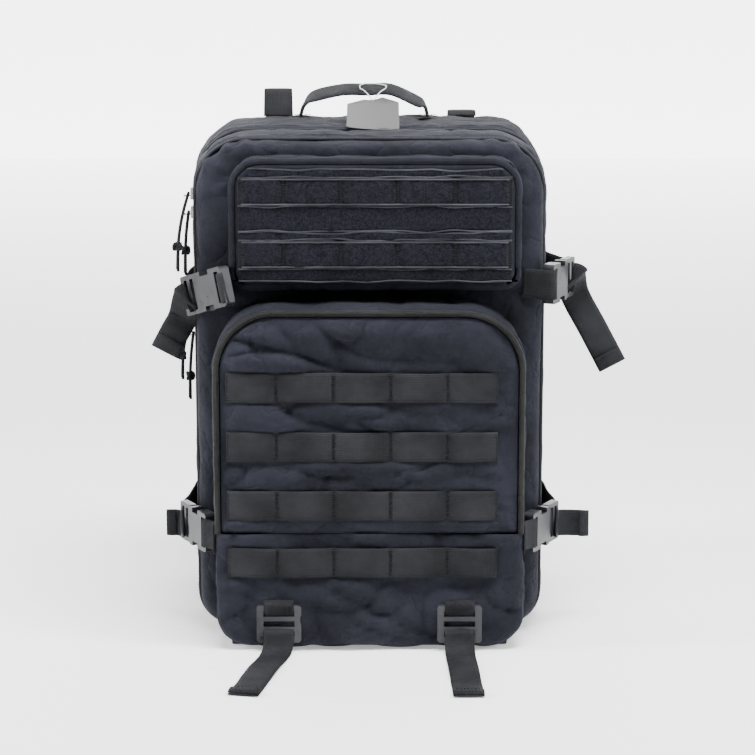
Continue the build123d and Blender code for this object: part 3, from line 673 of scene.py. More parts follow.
def make_shells(m):
    tubs = (("main_compartment", ["main_shell", "frame_sheet"], 5, 20, 5,
             tub_relief(11, 1.6 * MM, 2.0 * MM, 0.8 * MM)),
            ("second_compartment", ["mid_shell"], 6, 6, 5, tub_relief(21, 1.4 * MM, 1.8 * MM, 0.9 * MM)),
            ("front_panel_cloth", ["front_panel"], 14, 4, 4, front_panel_relief))
    for name, nodes, front_rim, back_rim, spacing, relief in tubs:
        tub = pouch(name, *EDGE[nodes[0]], FOOT_RADIUS, TOP_RADIUS, front_rim * MM, back_rim * MM,
                    spacing * MM, relief)
        settle(tub, "pack", m["cloth"], nodes)
    base = pouch("base_cloth", *EDGE["base_panel"], 1.2 * MM, 1.2 * MM, 3 * MM, 3 * MM, 9 * MM)
    settle(base, "pack", m["base"], ["base_panel"])


def zip_band(name, node, m):
    """Coil zip right round a compartment: tape, a bound lip each side and the coil's teeth."""
    low, high = EDGE[node]
    proud = 1.4 * MM
    middle, depth = (low.y + high.y) / 2, (high.y - low.y) / 2
    corners = (low.x + proud, low.z + proud), (high.x - proud, high.z - proud), FOOT_RADIUS, TOP_RADIUS
    line, out = outline(*corners)
    line[:, 1] = middle
    tape = swept(f"{name}_tape", line, [(-3 * MM, -depth), (0.2 * MM, -depth), (-1.2 * MM, -depth / 3),
                                        (-1.2 * MM, depth / 3), (0.2 * MM, depth), (-3 * MM, depth)], out)
    teeth, ways = outline(*corners, 1.9 * MM)
    teeth[:, 1] = [middle + (0.6 * MM if number % 2 else -0.6 * MM) for number in range(len(teeth))]
    coil = tooth_row(f"{name}_coil", teeth, ways, (0.75 * MM, 1.9 * MM, 0.9 * MM))
    settle(tape, "pack", m["zip_black"], [node])
    settle(coil, "pack", m["zip_black"])
    for edge, end in (("front", low.y), ("rear", high.y)):
        line[:, 1] = end
        lip = swept(f"{name}_{edge}_binding", line + out * 0.9 * MM, round_section(1.5 * MM, 8), out)
        settle(lip, "pack", m["binding"])


def tooth_row(name, places, ways, half):
    """Small rounded blocks along a zip. ways are their outward directions; half is along, y, out."""
    verts, faces = [], []
    for place, away in zip(places, ways):
        along = np.array((-away[2], 0, away[0]))
        faces += block_faces(len(verts))
        for up, grow in ((-0.4, 1.0), (0.6, 1.0), (1.0, 0.55)):
            for a, b in ((-1, -1), (1, -1), (1, 1), (-1, 1)):
                verts.append(place + along * half[0] * a * grow + np.array((0, half[1] * b * grow, 0))
                             + away * half[2] * up)
    return mesh_object(name, verts, faces)


# ------------------------------------------------------------------ pockets and their webbing
def hollow(piece, node, hinge):
    """Cut the mouth of a pocket in its front, above the flap's hinge, and give the cloth its thickness."""
    low, high = EDGE[node]
    centre, reach = (low.x + high.x) / 2, (high.x - low.x) / 2 - 4 * MM
    bm = bmesh.new()
    bm.from_mesh(piece.data)
    mouth = []
    for face in bm.faces:
        place = face.calc_center_median()
        if place.y < low.y + 2.2 * MM and hinge < place.z < high.z - 4 * MM and abs(place.x - centre) < reach:
            mouth.append(face)
    bmesh.ops.delete(bm, geom=mouth, context="FACES")
    bm.to_mesh(piece.data)
    bm.free()
    solidify(piece, "cloth", 1.4 * MM)


def row_centres(node, pitch=ROW_PITCH):
    """Middle heights of the webbing rows in a node, from top to bottom."""
    low, high = EDGE[node]
    count = round((high.z - low.z - WEBBING) / pitch) + 1
    return [high.z - WEBBING / 2 - pitch * i for i in range(count)]


def between_rows(z, rows, swell):
    """Cloth swells between webbing rows and is held flat under them."""
    bulge = np.ones_like(z)
    for row in rows:
        bulge = np.minimum(bulge, 1 - np.exp(-np.maximum(np.abs(z - row) - WEBBING / 2, 0) / (5 * MM)))
    return swell * bulge


def quilted(co, rows, tacks, seed, swell, pull):
    """Puckers that fan out from the bar tacks, on cloth that swells between the rows."""
    z, x = co[:, 2], co[:, 0]
    bulge = between_rows(z, rows, swell) * (0.75 + 0.35 * soft_noise(co, 70 * MM, seed + 7))
    near = sum(np.exp(-((x - tack) / (7 * MM)) ** 2) for tack in tacks)
    sheared = co + np.stack([z * 0.7, z * 0, z * 0], axis=1)
    wrinkles = folds(sheared, 30 * MM, seed, (1.7, 1, 0.7)) * 1.4
    wrinkles = wrinkles + folds(co, 15 * MM, seed + 1, (0.8, 1, 1.7)) * 0.45
    diagonal = folds(sheared, 56 * MM, seed + 2, (2.2, 1, 0.7)) * 1.8
    return bulge * (1 - 0.35 * np.clip(near, 0, 1)) + pull * (wrinkles + diagonal) * (0.3 + 0.7 * bulge / swell)


def flap_relief(rows, tacks, seed, swell, pull, border, sunk=0.0):
    """Cloth quilted by its rows of webbing, flat within border of its edge, which can lie sunk."""
    def relief(co, inside, depth):
        front = np.clip(1.2 - 1.6 * depth, 0, 1)
        edge = np.clip(inside / border, 0, 1)
        rim = sunk * np.exp(-(inside / (9 * MM)) ** 2)
        return front * (edge * quilted(co, rows, tacks, seed, swell, pull) - rim)
    return relief


def make_pockets(m):
    low, high = EDGE["lower_pocket"]

    def lower_gusset(co, inside, depth):
        wall = MM * (folds(co, 50 * MM, 41, (1, 2.2, 0.9)) * 1.5 + folds(co, 22 * MM, 43, (1, 3, 1)) * 0.7)
        apron = quilted(co, row_centres("lower_pocket_webbing"), LOWER_TACKS, 44, 2.8 * MM, 2.2 * MM)
        return np.where(co[:, 1] < low.y + 2 * MM, apron * np.clip(inside / (9 * MM), 0, 1), wall)

    def upper_gusset(co, inside, depth):
        return MM * (folds(co, 40 * MM, 61) * 0.8 + folds(co, 20 * MM, 62, (1, 2, 1)) * 0.5)

    lower_front = flap_relief(row_centres("lower_flap_webbing"), LOWER_TACKS, 51,
                              3.0 * MM, 2.1 * MM, 12 * MM, 1.6 * MM)
    upper_front = flap_relief(row_centres("upper_webbing", UPPER_PITCH), UPPER_TACKS, 63,
                              0.5 * MM, 0.25 * MM, 8 * MM)
    for which, foot, flap_foot, top, rim, gusset, front in (
            ("lower", 28 * MM, 2 * MM, ARCH_RADIUS, 3 * MM, lower_gusset, lower_front),
            ("upper", 15 * MM, 10 * MM, UPPER_RADIUS, 2.5 * MM, upper_gusset, upper_front)):
        node, flap_node = f"{which}_pocket", f"{which}_flap"
        pocket = pouch(f"{node}_cloth", *EDGE[node], foot, top, rim, 2 * MM, 4 * MM, gusset)
        hollow(pocket, node, EDGE[flap_node][0].z)
        settle(pocket, "pack", m["cloth"], [node])
        flap = pouch(f"{flap_node}_cloth", *EDGE[flap_node], flap_foot, top - 5.4 * MM, 1.1 * MM, 0.8 * MM,
                     2.6 * MM, front)
        settle(flap, flap_node, m["cloth"], [flap_node])


def pocket_zip(name, top_radius, m, rim_material, clear=0.0):
    """Zip round a pocket's mouth: a bound rim outside and the coil inside it."""
    low, high = EDGE[name]
    width = 5 * MM

    def mouth(step, inset, behind):
        places, ways = outline((low.x, low.z), (high.x, high.z), 1 * MM, top_radius, step, low.z + clear, inset)
        places[:, 1] = low.y + behind
        return places, ways

    line, out = mouth(2.5 * MM, width / 2, 1.5 * MM)
    wobble = soft_noise(line, 50 * MM, 71)[:, None] * out * 0.35 * MM
    rim = swept(f"{name}_rim", line + wobble,
                [(2.4 * MM * cos(a) + 0.2 * MM, 1.9 * MM * sin(a))
                 for a in np.linspace(0, 2 * pi, 12, endpoint=False)], out, False)
    settle(rim, "pack", rim_material, [name])
    coil = tooth_row(f"{name}_coil", *mouth(1.7 * MM, width - 0.4 * MM, 0.8 * MM),
                     (0.6 * MM, 1.0 * MM, 0.9 * MM))
    settle(coil, "pack", m["zip_black"])


def webbing_row(name, node, z, face_y, tacks, body, m, lift=1.0):
    """A row of webbing held by bar tacks, standing a little proud between them."""
    ends = [EDGE[node][0].x, EDGE[node][1].x]
    stops = sorted(ends + [t for t in tacks if ends[0] + 8 * MM < t < ends[1] - 8 * MM])
    points = []
    for a, b in zip(stops, stops[1:]):
        for x, proud in ((a, 0), (a + 3 * MM, 1.1), (a + 10 * MM, 2.0), ((a + b) / 2, 2.3),
                         (b - 10 * MM, 2.0), (b - 3 * MM, 1.1)):
            points.append((x, face_y - (0.9 + lift * proud) * MM, z))
    points.append((stops[-1], face_y - 0.9 * MM, z))
    strip = ribbon(f"{name}_strip", points, Z, WEBBING, 1.3 * MM, 1.6 * MM)
    co = get_points(strip)
    co[:, 2] += soft_noise(co, 60 * MM, int(z * 1000)) * 0.4 * MM
    set_points(strip, co)
    settle(strip, body, m["webbing"])
    bars = []
    for stop in stops:
        x = min(max(stop, ends[0] + 1.5 * MM), ends[1] - 1.5 * MM)
        bars += [[(x + k * 0.55 * MM, face_y - 2.0 * MM, z + side * (WEBBING / 2 - 1 * MM)) for side in (-1, 1)]
                 for k in range(-2, 3)]
    tack = stitching(f"{name}_tacks", bars, (0, -1, 0), 1.6 * MM, 0.5 * MM, 0.45 * MM)
    settle(tack, body, m["thread"])
    return strip


def make_rows(m):
    for prefix, first, node, under, body, tacks, pitch, lift in (
            ("lower_row", 1, "lower_flap_webbing", "lower_flap", "lower_flap", LOWER_TACKS, ROW_PITCH, 1.0),
            ("lower_row", 4, "lower_pocket_webbing", "lower_pocket", "pack", LOWER_TACKS, ROW_PITCH, 1.0),
            ("upper_row", 1, "upper_webbing", "upper_flap", "upper_flap", UPPER_TACKS, UPPER_PITCH, 0.4)):
        for index, z in enumerate(row_centres(node, pitch)):
            strip = webbing_row(f"{prefix}_{first + index}", node, z, EDGE[under][0].y, tacks, body, m, lift)
            if index == 0:
                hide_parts(node)


# ------------------------------------------------------------------ cords, knots and the tag
CORDS = {
    "mid_cord_a": ("mid_pulls", 0.1392, [
        (-163.5, -77.45, 321), (-163.5, -74.45, 340), (-159.9, -70.8, 365.2), (-154.5, -61.4, 384.2),
        (-154.5, -56.6, 384.2), (-159.9, -66.6, 365.2), (-163.5, -71.55, 340), (-163.5, -69.55, 318)]),
    "mid_cord_b": ("mid_pulls", 0.1139, [
        (-158.5, -58.45, 315), (-158.5, -55.45, 334), (-156.9, -57.5, 353.2), (-154.5, -61.4, 368.2),
        (-154.5, -56.6, 368.2), (-156.9, -53.3, 353.2), (-158.5, -52.55, 334), (-158.5, -50.55, 312)]),
    "main_cord_a": ("main_pulls", 0.1207, [
        (-165.5, -18.45, 215), (-165.5, -15.45, 234), (-161.9, -11.8, 253.2), (-156.5, -2.4, 268.2),
        (-156.5, 2.4, 268.2), (-161.9, -7.6, 253.2), (-165.5, -12.55, 234), (-165.5, -10.55, 212)]),
    "main_cord_b": ("main_pulls", 0.1257, [
        (-160.5, 0.55, 193), (-160.5, 3.55, 212), (-158.9, 1.5, 234.8), (-156.5, -2.4, 252.2),
        (-156.5, 2.4, 252.2), (-158.9, 5.7, 234.8), (-160.5, 6.45, 212), (-160.5, 8.45, 190)]),
}
CORD_DIAMETER = 2.6 * MM
TAG_STRING = [(2, 45.28, 454.35), (-3, 59.5, 460.35), (-9, 63, 463), (-9, 78, 465), (-1, 82, 466),
              (15, 78, 465), (15, 63, 463), (9, 59.5, 460.35), (4, 45.28, 454.35)]


def cord_curve(name, route, diameter, material):
    """One open spline through the route, with a round bevel."""
    data = bpy.data.curves.new(name, "CURVE")
    data.dimensions = "3D"
    data.bevel_depth = diameter / 2
    data.bevel_resolution = 4
    data.resolution_u = 10
    data.use_fill_caps = True
    spline = data.splines.new("NURBS")
    spline.points.add(len(route) - 1)
    for point, place in zip(spline.points, route):
        point.co = (*(axis * MM for axis in place), 1)
    spline.order_u = 3
    spline.use_endpoint_u = True
    data.materials.append(material)
    return add_object(name, data)


def knot_mesh(name, centre, radius, seed):
    """An overhand knot in doubled cord: a fat trefoil pulled tight on itself."""
    turns = np.linspace(0, 2 * pi, 90, endpoint=False)
    size = radius * 0.5
    line = np.stack([(np.sin(turns) + 2 * np.sin(2 * turns)) * size * 0.55,
                     (np.cos(turns) - 2 * np.cos(2 * turns)) * size * 0.55,
                     -np.sin(3 * turns) * size * 1.3], axis=1)
    angle = seed * 0.9
    line = line @ np.array([[cos(angle), sin(angle), 0], [-sin(angle), cos(angle), 0], [0, 0, 1]])
    verts = []
    for place, after, before in zip(line, np.roll(line, -1, axis=0), np.roll(line, 1, axis=0)):
        forward = unit((after - before)[None])[0]
        side = unit(np.cross(forward, (0.31, 0.22, 0.93))[None])[0]
        up = np.cross(side, forward)
        for by_side, by_up in round_section(CORD_DIAMETER / 2):
            verts.append(np.array(centre) + place + side * by_side + up * by_up)
    return mesh_object(name, verts, tube_faces(len(line), 10, True))


def make_cords(m):
    for name, (body, length, route) in CORDS.items():
        cord = cord_curve(f"{name}_rope", route, CORD_DIAMETER, m["cord"])
        middle = (np.array(route[1]) + np.array(route[-2])) / 2 * MM
        knot = knot_mesh(f"{name}_knot", middle, 4.2 * MM, len(name) + route[1][2])
        settle(knot, body, m["cord"])
        settle(cord, body, m["cord"], [name])
        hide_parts("mid_knots" if body == "mid_pulls" else "main_knots")
    string = cord_curve("tag_loop", TAG_STRING, 1 * MM, m["string"])
    settle(string, "handle", m["string"], ["tag_string"])


def make_tag(m):
    """A blank card on a string, bowed a little, with its top corners cut off."""
    middle = sum(EDGE["hang_tag"], Vector()) / 2
    up, face = Vector((0, 0.944, 0.33)), Vector((0, -0.33, 0.944))
    width, height = 46 * MM, 62 * MM
    columns, rows = 24, 32
    verts, faces, uvs = [], [], []
    for side in (1, -1):
        for j in range(rows + 1):
            for i in range(columns + 1):
                u, v = i / columns - 0.5, j / rows - 0.5
                bow = 1.3 * MM * (u * u * 4 - 0.4) + 1.1 * MM * (u * v * 4)
                shoulder = min(1, 0.35 + 0.65 * (0.5 - v) * height / (10 * MM))
                verts.append(middle + Vector((width * u * shoulder, 0, 0)) + up * height * v
                             + face * (bow + side * 0.3 * MM))
                uvs.append((u, v))
    count = (rows + 1) * (columns + 1)
    for j in range(rows):
        for i in range(columns):
            a = j * (columns + 1) + i
            quad = (a, a + 1, a + columns + 2, a + columns + 1)
            faces += [quad, tuple(k + count for k in reversed(quad))]
    ring = list(range(columns + 1)) + [(j + 1) * (columns + 1) - 1 for j in range(1, rows + 1)]
    ring += [rows * (columns + 1) + i for i in range(columns - 1, -1, -1)]
    ring += [j * (columns + 1) for j in range(rows - 1, 0, -1)]
    faces += [(b, a, a + count, b + count) for a, b in zip(ring, ring[1:] + ring[:1])]
    card = mesh_object("tag_card_sheet", verts, faces, uvs)
    settle(card, "tag", m["card"], ["hang_tag"])


# ------------------------------------------------------------------ loop panels on the upper pocket
def felt_strip(name, x0, x1, low, high, face_y, proud, m, wavy=True):
    """A strip of loop pile between two woven selvages whose edges ripple where they are stitched."""
    count = max(8, int((x1 - x0) / (2.2 * MM)))
    rows = max(4, int((high - low) / (2.2 * MM)))
    seed = int(low * 1e4)
    co = np.array([(x0 + (x1 - x0) * i / count, face_y - proud, low + (high - low) * j / rows)
                   for j in range(rows + 1) for i in range(count + 1)])
    ripple = soft_noise(co * (1, 0, 0), 30 * MM, seed) * 0.6 * MM * wavy
    edge = (co[:, 2] - low) / (high - low)
    co[:, 2] += ripple * (2 * edge - 1)
    co[:, 1] -= soft_noise(co, 30 * MM, seed + 1) * 0.35 * MM + 0.5 * MM * np.sin(pi * edge)
    starts = [j * (count + 1) + i for j in range(rows) for i in range(count)]
    sheet = mesh_object(name, co, [(a, a + 1, a + count + 2, a + count + 1) for a in starts])
    solidify(sheet, "felt", 1.2 * MM)
    settle(sheet, "upper_flap", m["pile"])
    for end, z, way in (("lower", low, -1), ("upper", high, 1)):
        line = np.stack([co[: count + 1, 0], np.full(count + 1, face_y - proud - 0.2 * MM),
                         z + way * ripple[: count + 1]], axis=1)
        line[:, 1] -= soft_noise(line, 9 * MM, seed + 2) * 0.35 * MM
        selvage = selvage_mesh(f"{name}_{end}_selvage", line, 0.6 * MM, 0.7 * MM)
        settle(selvage, "upper_flap", m["tape"])
    return sheet


def selvage_mesh(name, line, half_y, half_z):
    """A flat selvage along a line that runs along X."""
    section = round_section(1, 8)
    verts = [place + np.array((0, half_y * by_y, half_z * by_z)) for place in line for by_y, by_z in section]
    return mesh_object(name, verts, [face[:1] + face[:0:-1] for face in tube_faces(len(line), 8)])


def make_loop_panels(m):
    low, high = EDGE["upper_loop_panels"]
    face = EDGE["upper_flap"][0].y
    rows = row_centres("upper_webbing", UPPER_PITCH)
    half = WEBBING / 2
    bands = (("top", 8 * MM, rows[0] + half - 0.5 * MM, EDGE["upper_flap"][1].z - 4 * MM),
             ("middle", 0, rows[1] + half + 7 * MM, rows[0] - half + 0.5 * MM),
             ("narrow", 0, rows[1] + half - 0.5 * MM, rows[1] + half + 6 * MM),
             ("bottom", 0, low.z - 3 * MM, rows[1] - half + 0.5 * MM))
    for name, inset, lower, upper in bands:
        sheet = felt_strip(f"loop_{name}_band", low.x + inset, high.x - inset, lower, upper, face, 1.5 * MM, m)
        if name == "top":
            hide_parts("upper_loop_panels")
    ends = [low.x + 3 * MM, high.x - 3 * MM]
    for index, z in enumerate(rows):
        pile = felt_strip(f"loop_row_{index + 1}", *ends, z - half + 2.2 * MM, z + half - 2.2 * MM, face,
                          3.1 * MM, m, False)
        co = get_points(pile)
        co[:, 1] += 1.9 * MM * np.max([np.exp(-((co[:, 0] - stop) / (2.6 * MM)) ** 2)
                                       for stop in UPPER_TACKS + ends], axis=0)
        set_points(pile, co)
    tacks = [[(stop + k * MM, face - 2.6 * MM, z + side * (half - 2 * MM)) for side in (-1, 1)]
             for z in rows for stop in UPPER_TACKS for k in (-0.5, 0.5)]
    settle(stitching("loop_row_tacks", tacks, (0, -1, 0), 1.8 * MM, 0.5 * MM, 0.5 * MM), "upper_flap",
           m["thread"])


# ------------------------------------------------------------------ side straps
def box_stitch(name, corner, along, across, out, m):
    """A sewn box with its two diagonals, lying on a strap's face. along and across are its sides."""
    a, u, v = (np.array(vector, float) for vector in (corner, along, across))
    lines = [[a, a + u], [a + u, a + u + v], [a + u + v, a + v], [a + v, a], [a, a + u + v], [a + u, a + v]]
    settle(stitching(name, lines, out, 2.2 * MM, 1.0 * MM, 0.35 * MM), "pack", m["thread"])


def hem_thread(name, corner, step, across, out, body, m):
    """Two rows of stitches across a strap's hem."""
    lines = [[corner + step * k, corner + step * k + across * 20 * MM] for k in (0, 1)]
    settle(stitching(name, lines, out, 2 * MM, 1 * MM, 0.4 * MM), body, m["thread"])


def strap_axes(name):
    """A side buckle's side, its directions along the strap, outward and up, and its male half's middle."""
    side = -1 if "left" in name else 1
    runs = {"upper_left": (0.70, 0.714, -0.30), "upper_right": (0.42, 0.907, 0.0)}
    run = runs.get(name, (0.48, 0.877, 0.0))
    along = Vector((side * run[0], run[1], run[2])).normalized()
    outward = Vector((side * run[1], -run[0], 0)).normalized()
    up = outward.cross(along)
    low, high = EDGE[f"{name}_male"]
    return side, along, outward, up if up.z > 0 else -up, (low + high) / 2


def make_straps(m):
    anchor_x = EDGE["rear_anchors"][1].x
    for name in SIDE_STRAPS:
        side, along, outward, up, middle = strap_axes(name)
        end = middle + along * 20 * MM
        body = f"{name}_buckle"
        tack = Vector((side * (anchor_x + 1.2 * MM), 39.7 * MM, end.z))
        bend = Vector((side * (anchor_x + 4.2 * MM), 20 * MM, end.z))
        path = [end - along * 14.3 * MM + outward * 2 * MM, end - along * 6.3 * MM - outward * 3.2 * MM,
                end - outward * 1.5 * MM + along * 6 * MM, end.lerp(bend, 0.5), bend, tack]
        live = ribbon(f"{name}_live_strap", path, [up] * 4 + [Vector(Z)] * 2, wave=0.5 * MM, seed=len(name))
        live.data.materials.append(m["webbing"])
        smooth_faces(live)
        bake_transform(live)
        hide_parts(f"{name}_strap")
        root = end - along * 8 * MM + outward * 4.4 * MM
        make_tail = hanging_tail if name.startswith("upper") else folded_tail
        make_tail(name, side, outward, up, end, root, body, m)


def hanging_tail(name, side, outward, up, end, root, body, m):
    """The loose end that hangs from an upper buckle."""
    lean, wide = Vector((side * 0.47, 0, -0.88)), Vector((side * 0.88, 0, 0.47))
    length = {"upper_left": 46 * MM, "upper_right": 84 * MM}[name]
    top = end + Vector((-side * 1 * MM, 5 * MM, -8 * MM))
    path = [root, root + outward * 2.5 * MM + lean * 2 * MM, top + lean * 10 * MM, top + lean * length * 0.55,
            top + lean * (length - 2 * MM)]
    ways = [up, up.lerp(-wide if up.dot(wide) < 0 else wide, 0.5), wide, wide, wide]
    web(f"{name}_tail", path, ways, m, body, wave=0.7 * MM, seed=7 + len(name))
    tip = top + lean * (length - 14 * MM)
    hem = [tip + lean * run * MM - Vector((0, out * MM, 0)) for run, out in ((0, 1.7), (7, 2.2), (12.4, 1.7))]
    web(f"{name}_tail_hem", hem, [wide] * 3, m, body)
    corner = tip - wide * 10 * MM + lean * 1.5 * MM - Vector((0, 3.3 * MM, 0))
    hem_thread(f"{name}_hem_thread", corner, lean * 9 * MM, wide, (0, -1, 0), body, m)


def folded_tail(name, side, outward, up, end, root, body, m):
    """The loose end that stands out sideways from a lower buckle."""
    z = end.z - 5 * MM
    tip = Vector((end.x + (30 if side > 0 else -16) * MM, end.y + (4 if side > 0 else 7) * MM, z))
    path = [root, Vector((end.x - side * 1 * MM, end.y + 1 * MM, z)) + outward * 3 * MM,
            Vector((end.x + side * 6 * MM, end.y + 6 * MM, z)), tip]
    turned = Vector((side * 0.12, 0, 1))
    web(f"{name}_tail", path, [up, up, Vector((0, 0.1, 1)), turned], m, body, width=WEBBING - 2.4 * MM,
        wave=0.5 * MM, seed=11)
    hem = [tip - Vector((side * back * MM, out * MM, 0)) for back, out in ((9, 1.8), (4, 2.3), (0.6, 1.6))]
    web(f"{name}_tail_hem", hem, [turned] * 3, m, body, width=WEBBING - 2.6 * MM)


def sewn_strip(name, low, high, side, m, nodes):
    """A webbing strip sewn flat on a side face between two corners, with a box of stitches at each end."""
    x = (low.x + high.x) / 2 + side * 0.3 * MM
    z = (low.z + high.z) / 2
    count = 6
    path = [(x + side * 0.25 * MM * sin(pi * k / count), low.y + (high.y - low.y) * k / count, z)
            for k in range(count + 1)]
    web(name, path, Z, m, nodes=nodes, width=high.z - low.z, wave=0.25 * MM, seed=int(z * 1000))
    half = (high.z - low.z) / 2 - 3 * MM
    for end, start in (("front", low.y + 2.5 * MM), ("rear", high.y - 18 * MM)):
        box_stitch(f"{name}_{end}_stitch", (x + side * 1.4 * MM, start, z - half), (0, 15 * MM, 0),
                   (0, 0, 2 * half), (side, 0, 0), m)


def make_side_webbing(m):
    for node in ("side_webbing", "rear_anchors"):
        low, high = EDGE[node]
        nodes = [node]
        for tag, side in SIDES:
            x0 = high.x - WEB_THICK if side > 0 else low.x
            heights = (high.z - WEBBING / 2, low.z + WEBBING / 2)
            if node == "rear_anchors":
                heights = anchor_heights(side)
            for index, z in enumerate(heights):
                sewn_strip(f"{node}_{tag}_{index + 1}", Vector((x0, low.y, z - WEBBING / 2)),
                           Vector((x0 + WEB_THICK, high.y, z + WEBBING / 2)), side, m, nodes)
                nodes = ()


def anchor_heights(side):
    """Heights of the two rear anchors on one side."""
    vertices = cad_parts["rear_anchors"].data.vertices
    heights = sorted({round(v.co.z, 5) for v in vertices if v.co.x * side > 0})
    return [(heights[0] + heights[1]) / 2, (heights[-1] + heights[-2]) / 2]


def make_tabs(m):
    """Front ends of the side straps: webbing from the seam into each socket's bar, folded there."""
    for name in SIDE_STRAPS:
        side, along, outward, up, middle = strap_axes(name)
        start = middle - along * 36.3 * MM
        if name.startswith("upper"):
            seam = Vector((side * 125.5 * MM + 5 * MM, EDGE["front_panel"][0].y - 1.6 * MM, start.z + 1 * MM))
            mid = seam.lerp(start, 0.5) + outward * 1.5 * MM
        else:
            edge = EDGE["lower_pocket"][1].x
            seam = Vector((side * (edge + 1.1 * MM), start.y - 22 * MM, start.z))
            mid = Vector((side * (edge + 1.6 * MM), start.y - 9 * MM, start.z))
        bar = start + along * 2.4 * MM
        path = [seam, mid, start + outward * 3.6 * MM, bar + outward * 6.0 * MM + along * 1.5 * MM,
                bar + outward * 2.5 * MM + along * 4.5 * MM, bar - outward * 3 * MM + along * 2 * MM]
        nodes = ["strap_tabs"] if name == SIDE_STRAPS[0] else ()
        web(f"{name}_tab", path, [Vector(Z)] + [up] * 5, m, nodes=nodes, wave=0.2 * MM, seed=3)


# ------------------------------------------------------------------ bottom straps and handle
def make_bottom(m):
    rim = EDGE["lower_pocket"][0].y
    lock_low, lock_high = EDGE["bottom_locks"]
    face, upper_bar = lock_low.y, lock_high.z - 9 * MM
    front = face - 1.2 * MM
    for tag, side, drift in (("left", -1, -25 * MM), ("right", 1, 4 * MM)):
        name = f"bottom_strap_{tag}"
        low, high = EDGE[name]
        x = (low.x + high.x) / 2
        anchor = [(rim - 0.6 * MM, 4 * MM), (rim - 1.0 * MM, upper_bar * 0.55),
                  (rim - 1.4 * MM, lock_high.z + 0.5 * MM), (face + 1 * MM, lock_high.z + 2.6 * MM),
                  (face - 0.8 * MM, lock_high.z - 1 * MM), (face + 2.4 * MM, upper_bar - 1.5 * MM)]
        web(f"{name}_anchor", [(x, y, z) for y, z in anchor], X, m, nodes=[name], wave=0.2 * MM)
        path = [(x, front + 3 * MM, lock_low.z + 13 * MM), (x, front - 0.6 * MM, lock_low.z + 9 * MM),
                (x, front - 1.4 * MM, lock_low.z + 3 * MM), (x + drift * 0.06, front - 6 * MM, 3.6 * MM),
                (x + drift * 0.2, front - 22 * MM, 1.3 * MM), (x + drift * 0.45, front - 50 * MM, 2.4 * MM),
                (x + drift * 0.75, front - 86 * MM, 1.2 * MM), (x + drift, low.y + 3 * MM, 1.9 * MM)]
        ways = [(1, drift * turn, 0) for turn in (0, 0, 0, 0.6, 6, 6, 6, 8)]
        web(f"{name}_tail", path, ways, m, wave=0.35 * MM, seed=5 + side)
        end = Vector(path[-1])
        forward = end - Vector(path[-2])
        flat = Vector((forward.x, forward.y, 0)).normalized()
        across = Vector((-flat.y, flat.x, 0))
        hem = [end - flat * back * MM + Vector((0, 0, lift * MM))
               for back, lift in ((12, 1.7), (6, 2.3), (0.4, 1.3))]
        web(f"{name}_hem", hem, [across] * 3, m)
        corner = end - flat * 10 * MM - across * 10 * MM + Vector((0, 0, 3.2 * MM))
        hem_thread(f"{name}_hem_thread", corner, flat * 8 * MM, across, Z, "pack", m)


def make_handle(m):
    low, high = EDGE["grab_handle"]
    y, width = (low.y + high.y) / 2, high.y - low.y
    floor, z = low.z, high.z - 1.5 * MM
    path = [(-62 * MM, y, floor + 0.5 * MM), (-59 * MM, y, floor + 9 * MM), (-50 * MM, y, z - 6.5 * MM),
            (-24 * MM, y, z - 0.4 * MM), (-2 * MM, y, z), (20 * MM, y, z - 0.6 * MM), (44 * MM, y, z - 11 * MM),
            (50 * MM, y, floor + 8 * MM), (52 * MM, y, floor + 0.5 * MM)]
    tilted = (0, 1, 0.32)
    web("handle_webbing", path, [Y] * 2 + [tilted] * 5 + [Y] * 2, m, "handle", ["grab_handle"], width, 3.2 * MM,
        0.3 * MM, 9)
    fold = [(-30 * MM, y, z - 1.6 * MM), (-2 * MM, y, z + 0.6 * MM), (26 * MM, y, z - 2.6 * MM)]
    web("handle_grip_fold", fold, tilted, m, "handle", (), width * 0.72, 2.4 * MM)
    low, high = EDGE["handle_base"]
    for (tag, _), x, nodes in zip(SIDES, (low.x + 11 * MM, high.x - 11 * MM), (["handle_base"], ())):
        path = [(x - 12 * MM, y, low.z + 0.9 * MM), (x, y, high.z - 1 * MM),
                (x + 12 * MM, y, low.z + 0.9 * MM)]
        web(f"handle_foot_{tag}", path, Y, m, "pack", nodes, width + 1 * MM, 2 * MM)
        box_stitch(f"handle_foot_{tag}_stitch", (x - 8 * MM, y - 10 * MM, high.z + 0.3 * MM), (16 * MM, 0, 0),
                   (0, 20 * MM, 0), Z, m)


# ------------------------------------------------------------------ back panel and harness
def node_mesh(name, node):
    """A copy of a CAD node's mesh, to build a soft piece from."""
    return add_object(name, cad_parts[node].data.copy())


def stuff(piece, voxel, pressure, cap, shrink):
    """Blow a pad up with a short cloth simulation, and hold every point within cap of where it started."""
    remesh = piece.modifiers.new("even", "REMESH")
    remesh.mode = "VOXEL"
    remesh.voxel_size = voxel
    apply_modifiers(piece)
    start = get_points(piece) - get_points(piece, "normal") * shrink
    set_points(piece, start)
    cloth = piece.modifiers.new("cloth", "CLOTH")
    cloth.settings.use_pressure = True
    cloth.settings.uniform_pressure_force = pressure
    cloth.settings.effector_weights.gravity = 0
    cloth.settings.quality = 5
    scene = bpy.context.scene
    for number in range(1, 21):
        scene.frame_set(number)
    apply_modifiers(piece)
    scene.frame_set(1)
    moved = get_points(piece) - start
    length = np.linalg.norm(moved, axis=1)
    set_points(piece, start + moved * np.minimum(1, cap / np.maximum(length, 1e-9))[:, None])
    smooth = piece.modifiers.new("smooth", "SUBSURF")
    smooth.levels = 1
    apply_modifiers(piece)


